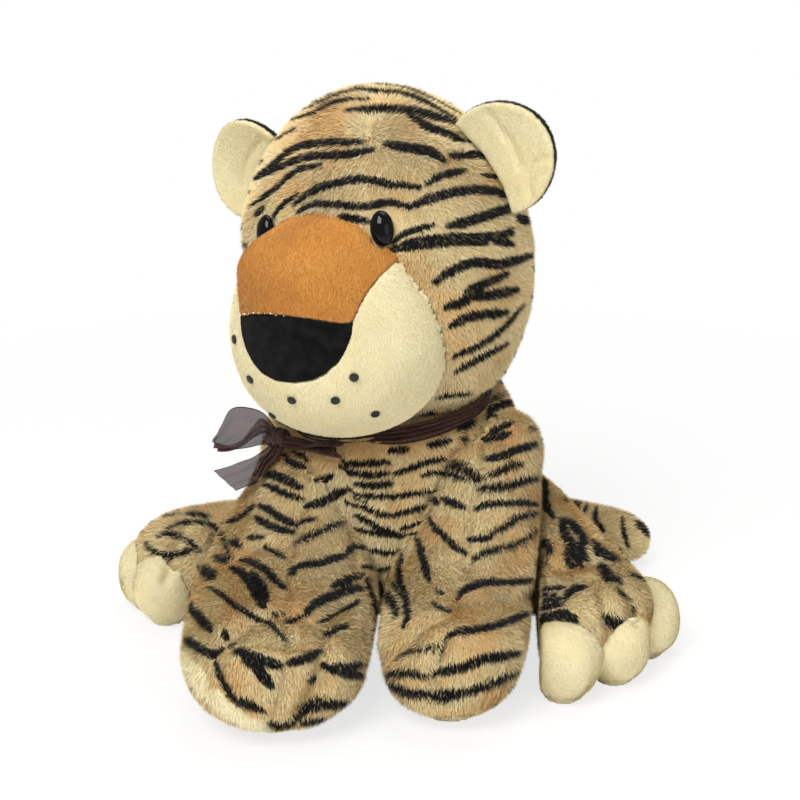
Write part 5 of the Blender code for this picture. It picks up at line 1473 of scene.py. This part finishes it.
surface, owners = whole_surface()
seam_points = [place + way * STITCH_LIFT for place, way, _, _ in
               (surface.ray_cast(EYE_POINT, pixel_ray(*pixel)) for pixel in smooth_line(SEAM_PX, 1.5)) if place]
seam_mesh = bpy.data.meshes.new("seam")
seam_mesh.from_pydata([tuple(point) for point in seam_points], [(n, n + 1) for n in range(len(seam_points) - 1)], [])
stitches = new_object("nose_stitches", run_tree("nose_stitches", seam_mesh, stitch_tree, {
    "Stitch": stitch, "Spacing": STITCH_SPACING, "Seed": 4, "Material": white_thread}))
bpy.data.objects.remove(stitch)
stitches.data.shade_smooth()
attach(stitches, "head")
print("stitch faces:", len(stitches.data.polygons))

# %% [markdown]
# Studio
# A pale floor keeps the toy's soft shadow, and fades into a white surround. Two large soft lamps light the
# toy from the front, as a window and a reflector would.

# %% Floor, surround and lamps
FLOOR_RADIUS = 6.0
FADE_FROM, FADE_TO = 0.30, 0.95      # metres from the middle, over which the paper fades into white
PAPER_GLOW = 0.74                    # how far it is white under the toy, which leaves it a soft shadow
floor_mesh = bpy.data.meshes.new("floor")
rim = [(FLOOR_RADIUS * math.cos(a), FLOOR_RADIUS * math.sin(a), 0.0)
       for a in (2 * math.pi * n / 64 for n in range(64))]
floor_mesh.from_pydata(rim, [], [tuple(range(64))])
floor = new_object("floor", floor_mesh)
paper, tree = open_material("matt white paper")
lit = add(tree, "ShaderNodeBsdfDiffuse", {"Color": linear("#F7F6F4")}).outputs[0]
glow = add(tree, "ShaderNodeEmission", {"Color": linear("#FFFFFF"), "Strength": 1.0}).outputs[0]
camera_ray = add(tree, "ShaderNodeLightPath").outputs["Is Camera Ray"]
away = add(tree, "ShaderNodeVectorMath", {0: add(tree, "ShaderNodeTexCoord").outputs["Object"]},
           operation="LENGTH").outputs["Value"]
part = maths(tree, "MULTIPLY", camera_ray, ranged(tree, away, FADE_FROM, FADE_TO, PAPER_GLOW, 1.0))
both = add(tree, "ShaderNodeMixShader", {0: part, 1: lit, 2: glow}).outputs[0]
add(tree, "ShaderNodeOutputMaterial", {"Surface": both})
floor.data.materials.append(paper)

SURROUND_LIGHT = 0.45        # on the toy. The camera sees the surround itself as white
world = bpy.data.worlds.new("surround")
SCENE.world = world
world.use_nodes = True
tree = world.node_tree
tree.nodes.clear()
rays = add(tree, "ShaderNodeLightPath").outputs
direct = maths(tree, "MAXIMUM", rays["Is Camera Ray"], rays["Is Transmission Ray"])
strength = ranged(tree, direct, 0.0, 1.0, SURROUND_LIGHT, 1.0)
surround = add(tree, "ShaderNodeBackground", {"Color": (1.0, 1.0, 1.0, 1.0), "Strength": strength}).outputs[0]
add(tree, "ShaderNodeOutputWorld", {"Surface": surround})

LAMPS = {
    # name: (place, size m, power W)
    "key": ((-0.6, -1.35, 1.85), 1.0, 37.0),
    "fill": ((1.2, -1.5, 0.8), 1.2, 5.0),
    "top": ((0.2, 0.4, 2.0), 1.2, 12.0),
}
for name, (place, size, power) in LAMPS.items():
    data = bpy.data.lights.new(name, "AREA")
    data.size = size
    data.energy = power
    lamp = bpy.data.objects.new(name, data)
    lamp.location = place
    lamp.rotation_euler = (Vector((0, 0, 0.2)) - Vector(place)).to_track_quat("-Z", "Y").to_euler()
    SCENE.collection.objects.link(lamp)
SCENE.view_settings.view_transform = "Standard"
print("lamps:", len(LAMPS))
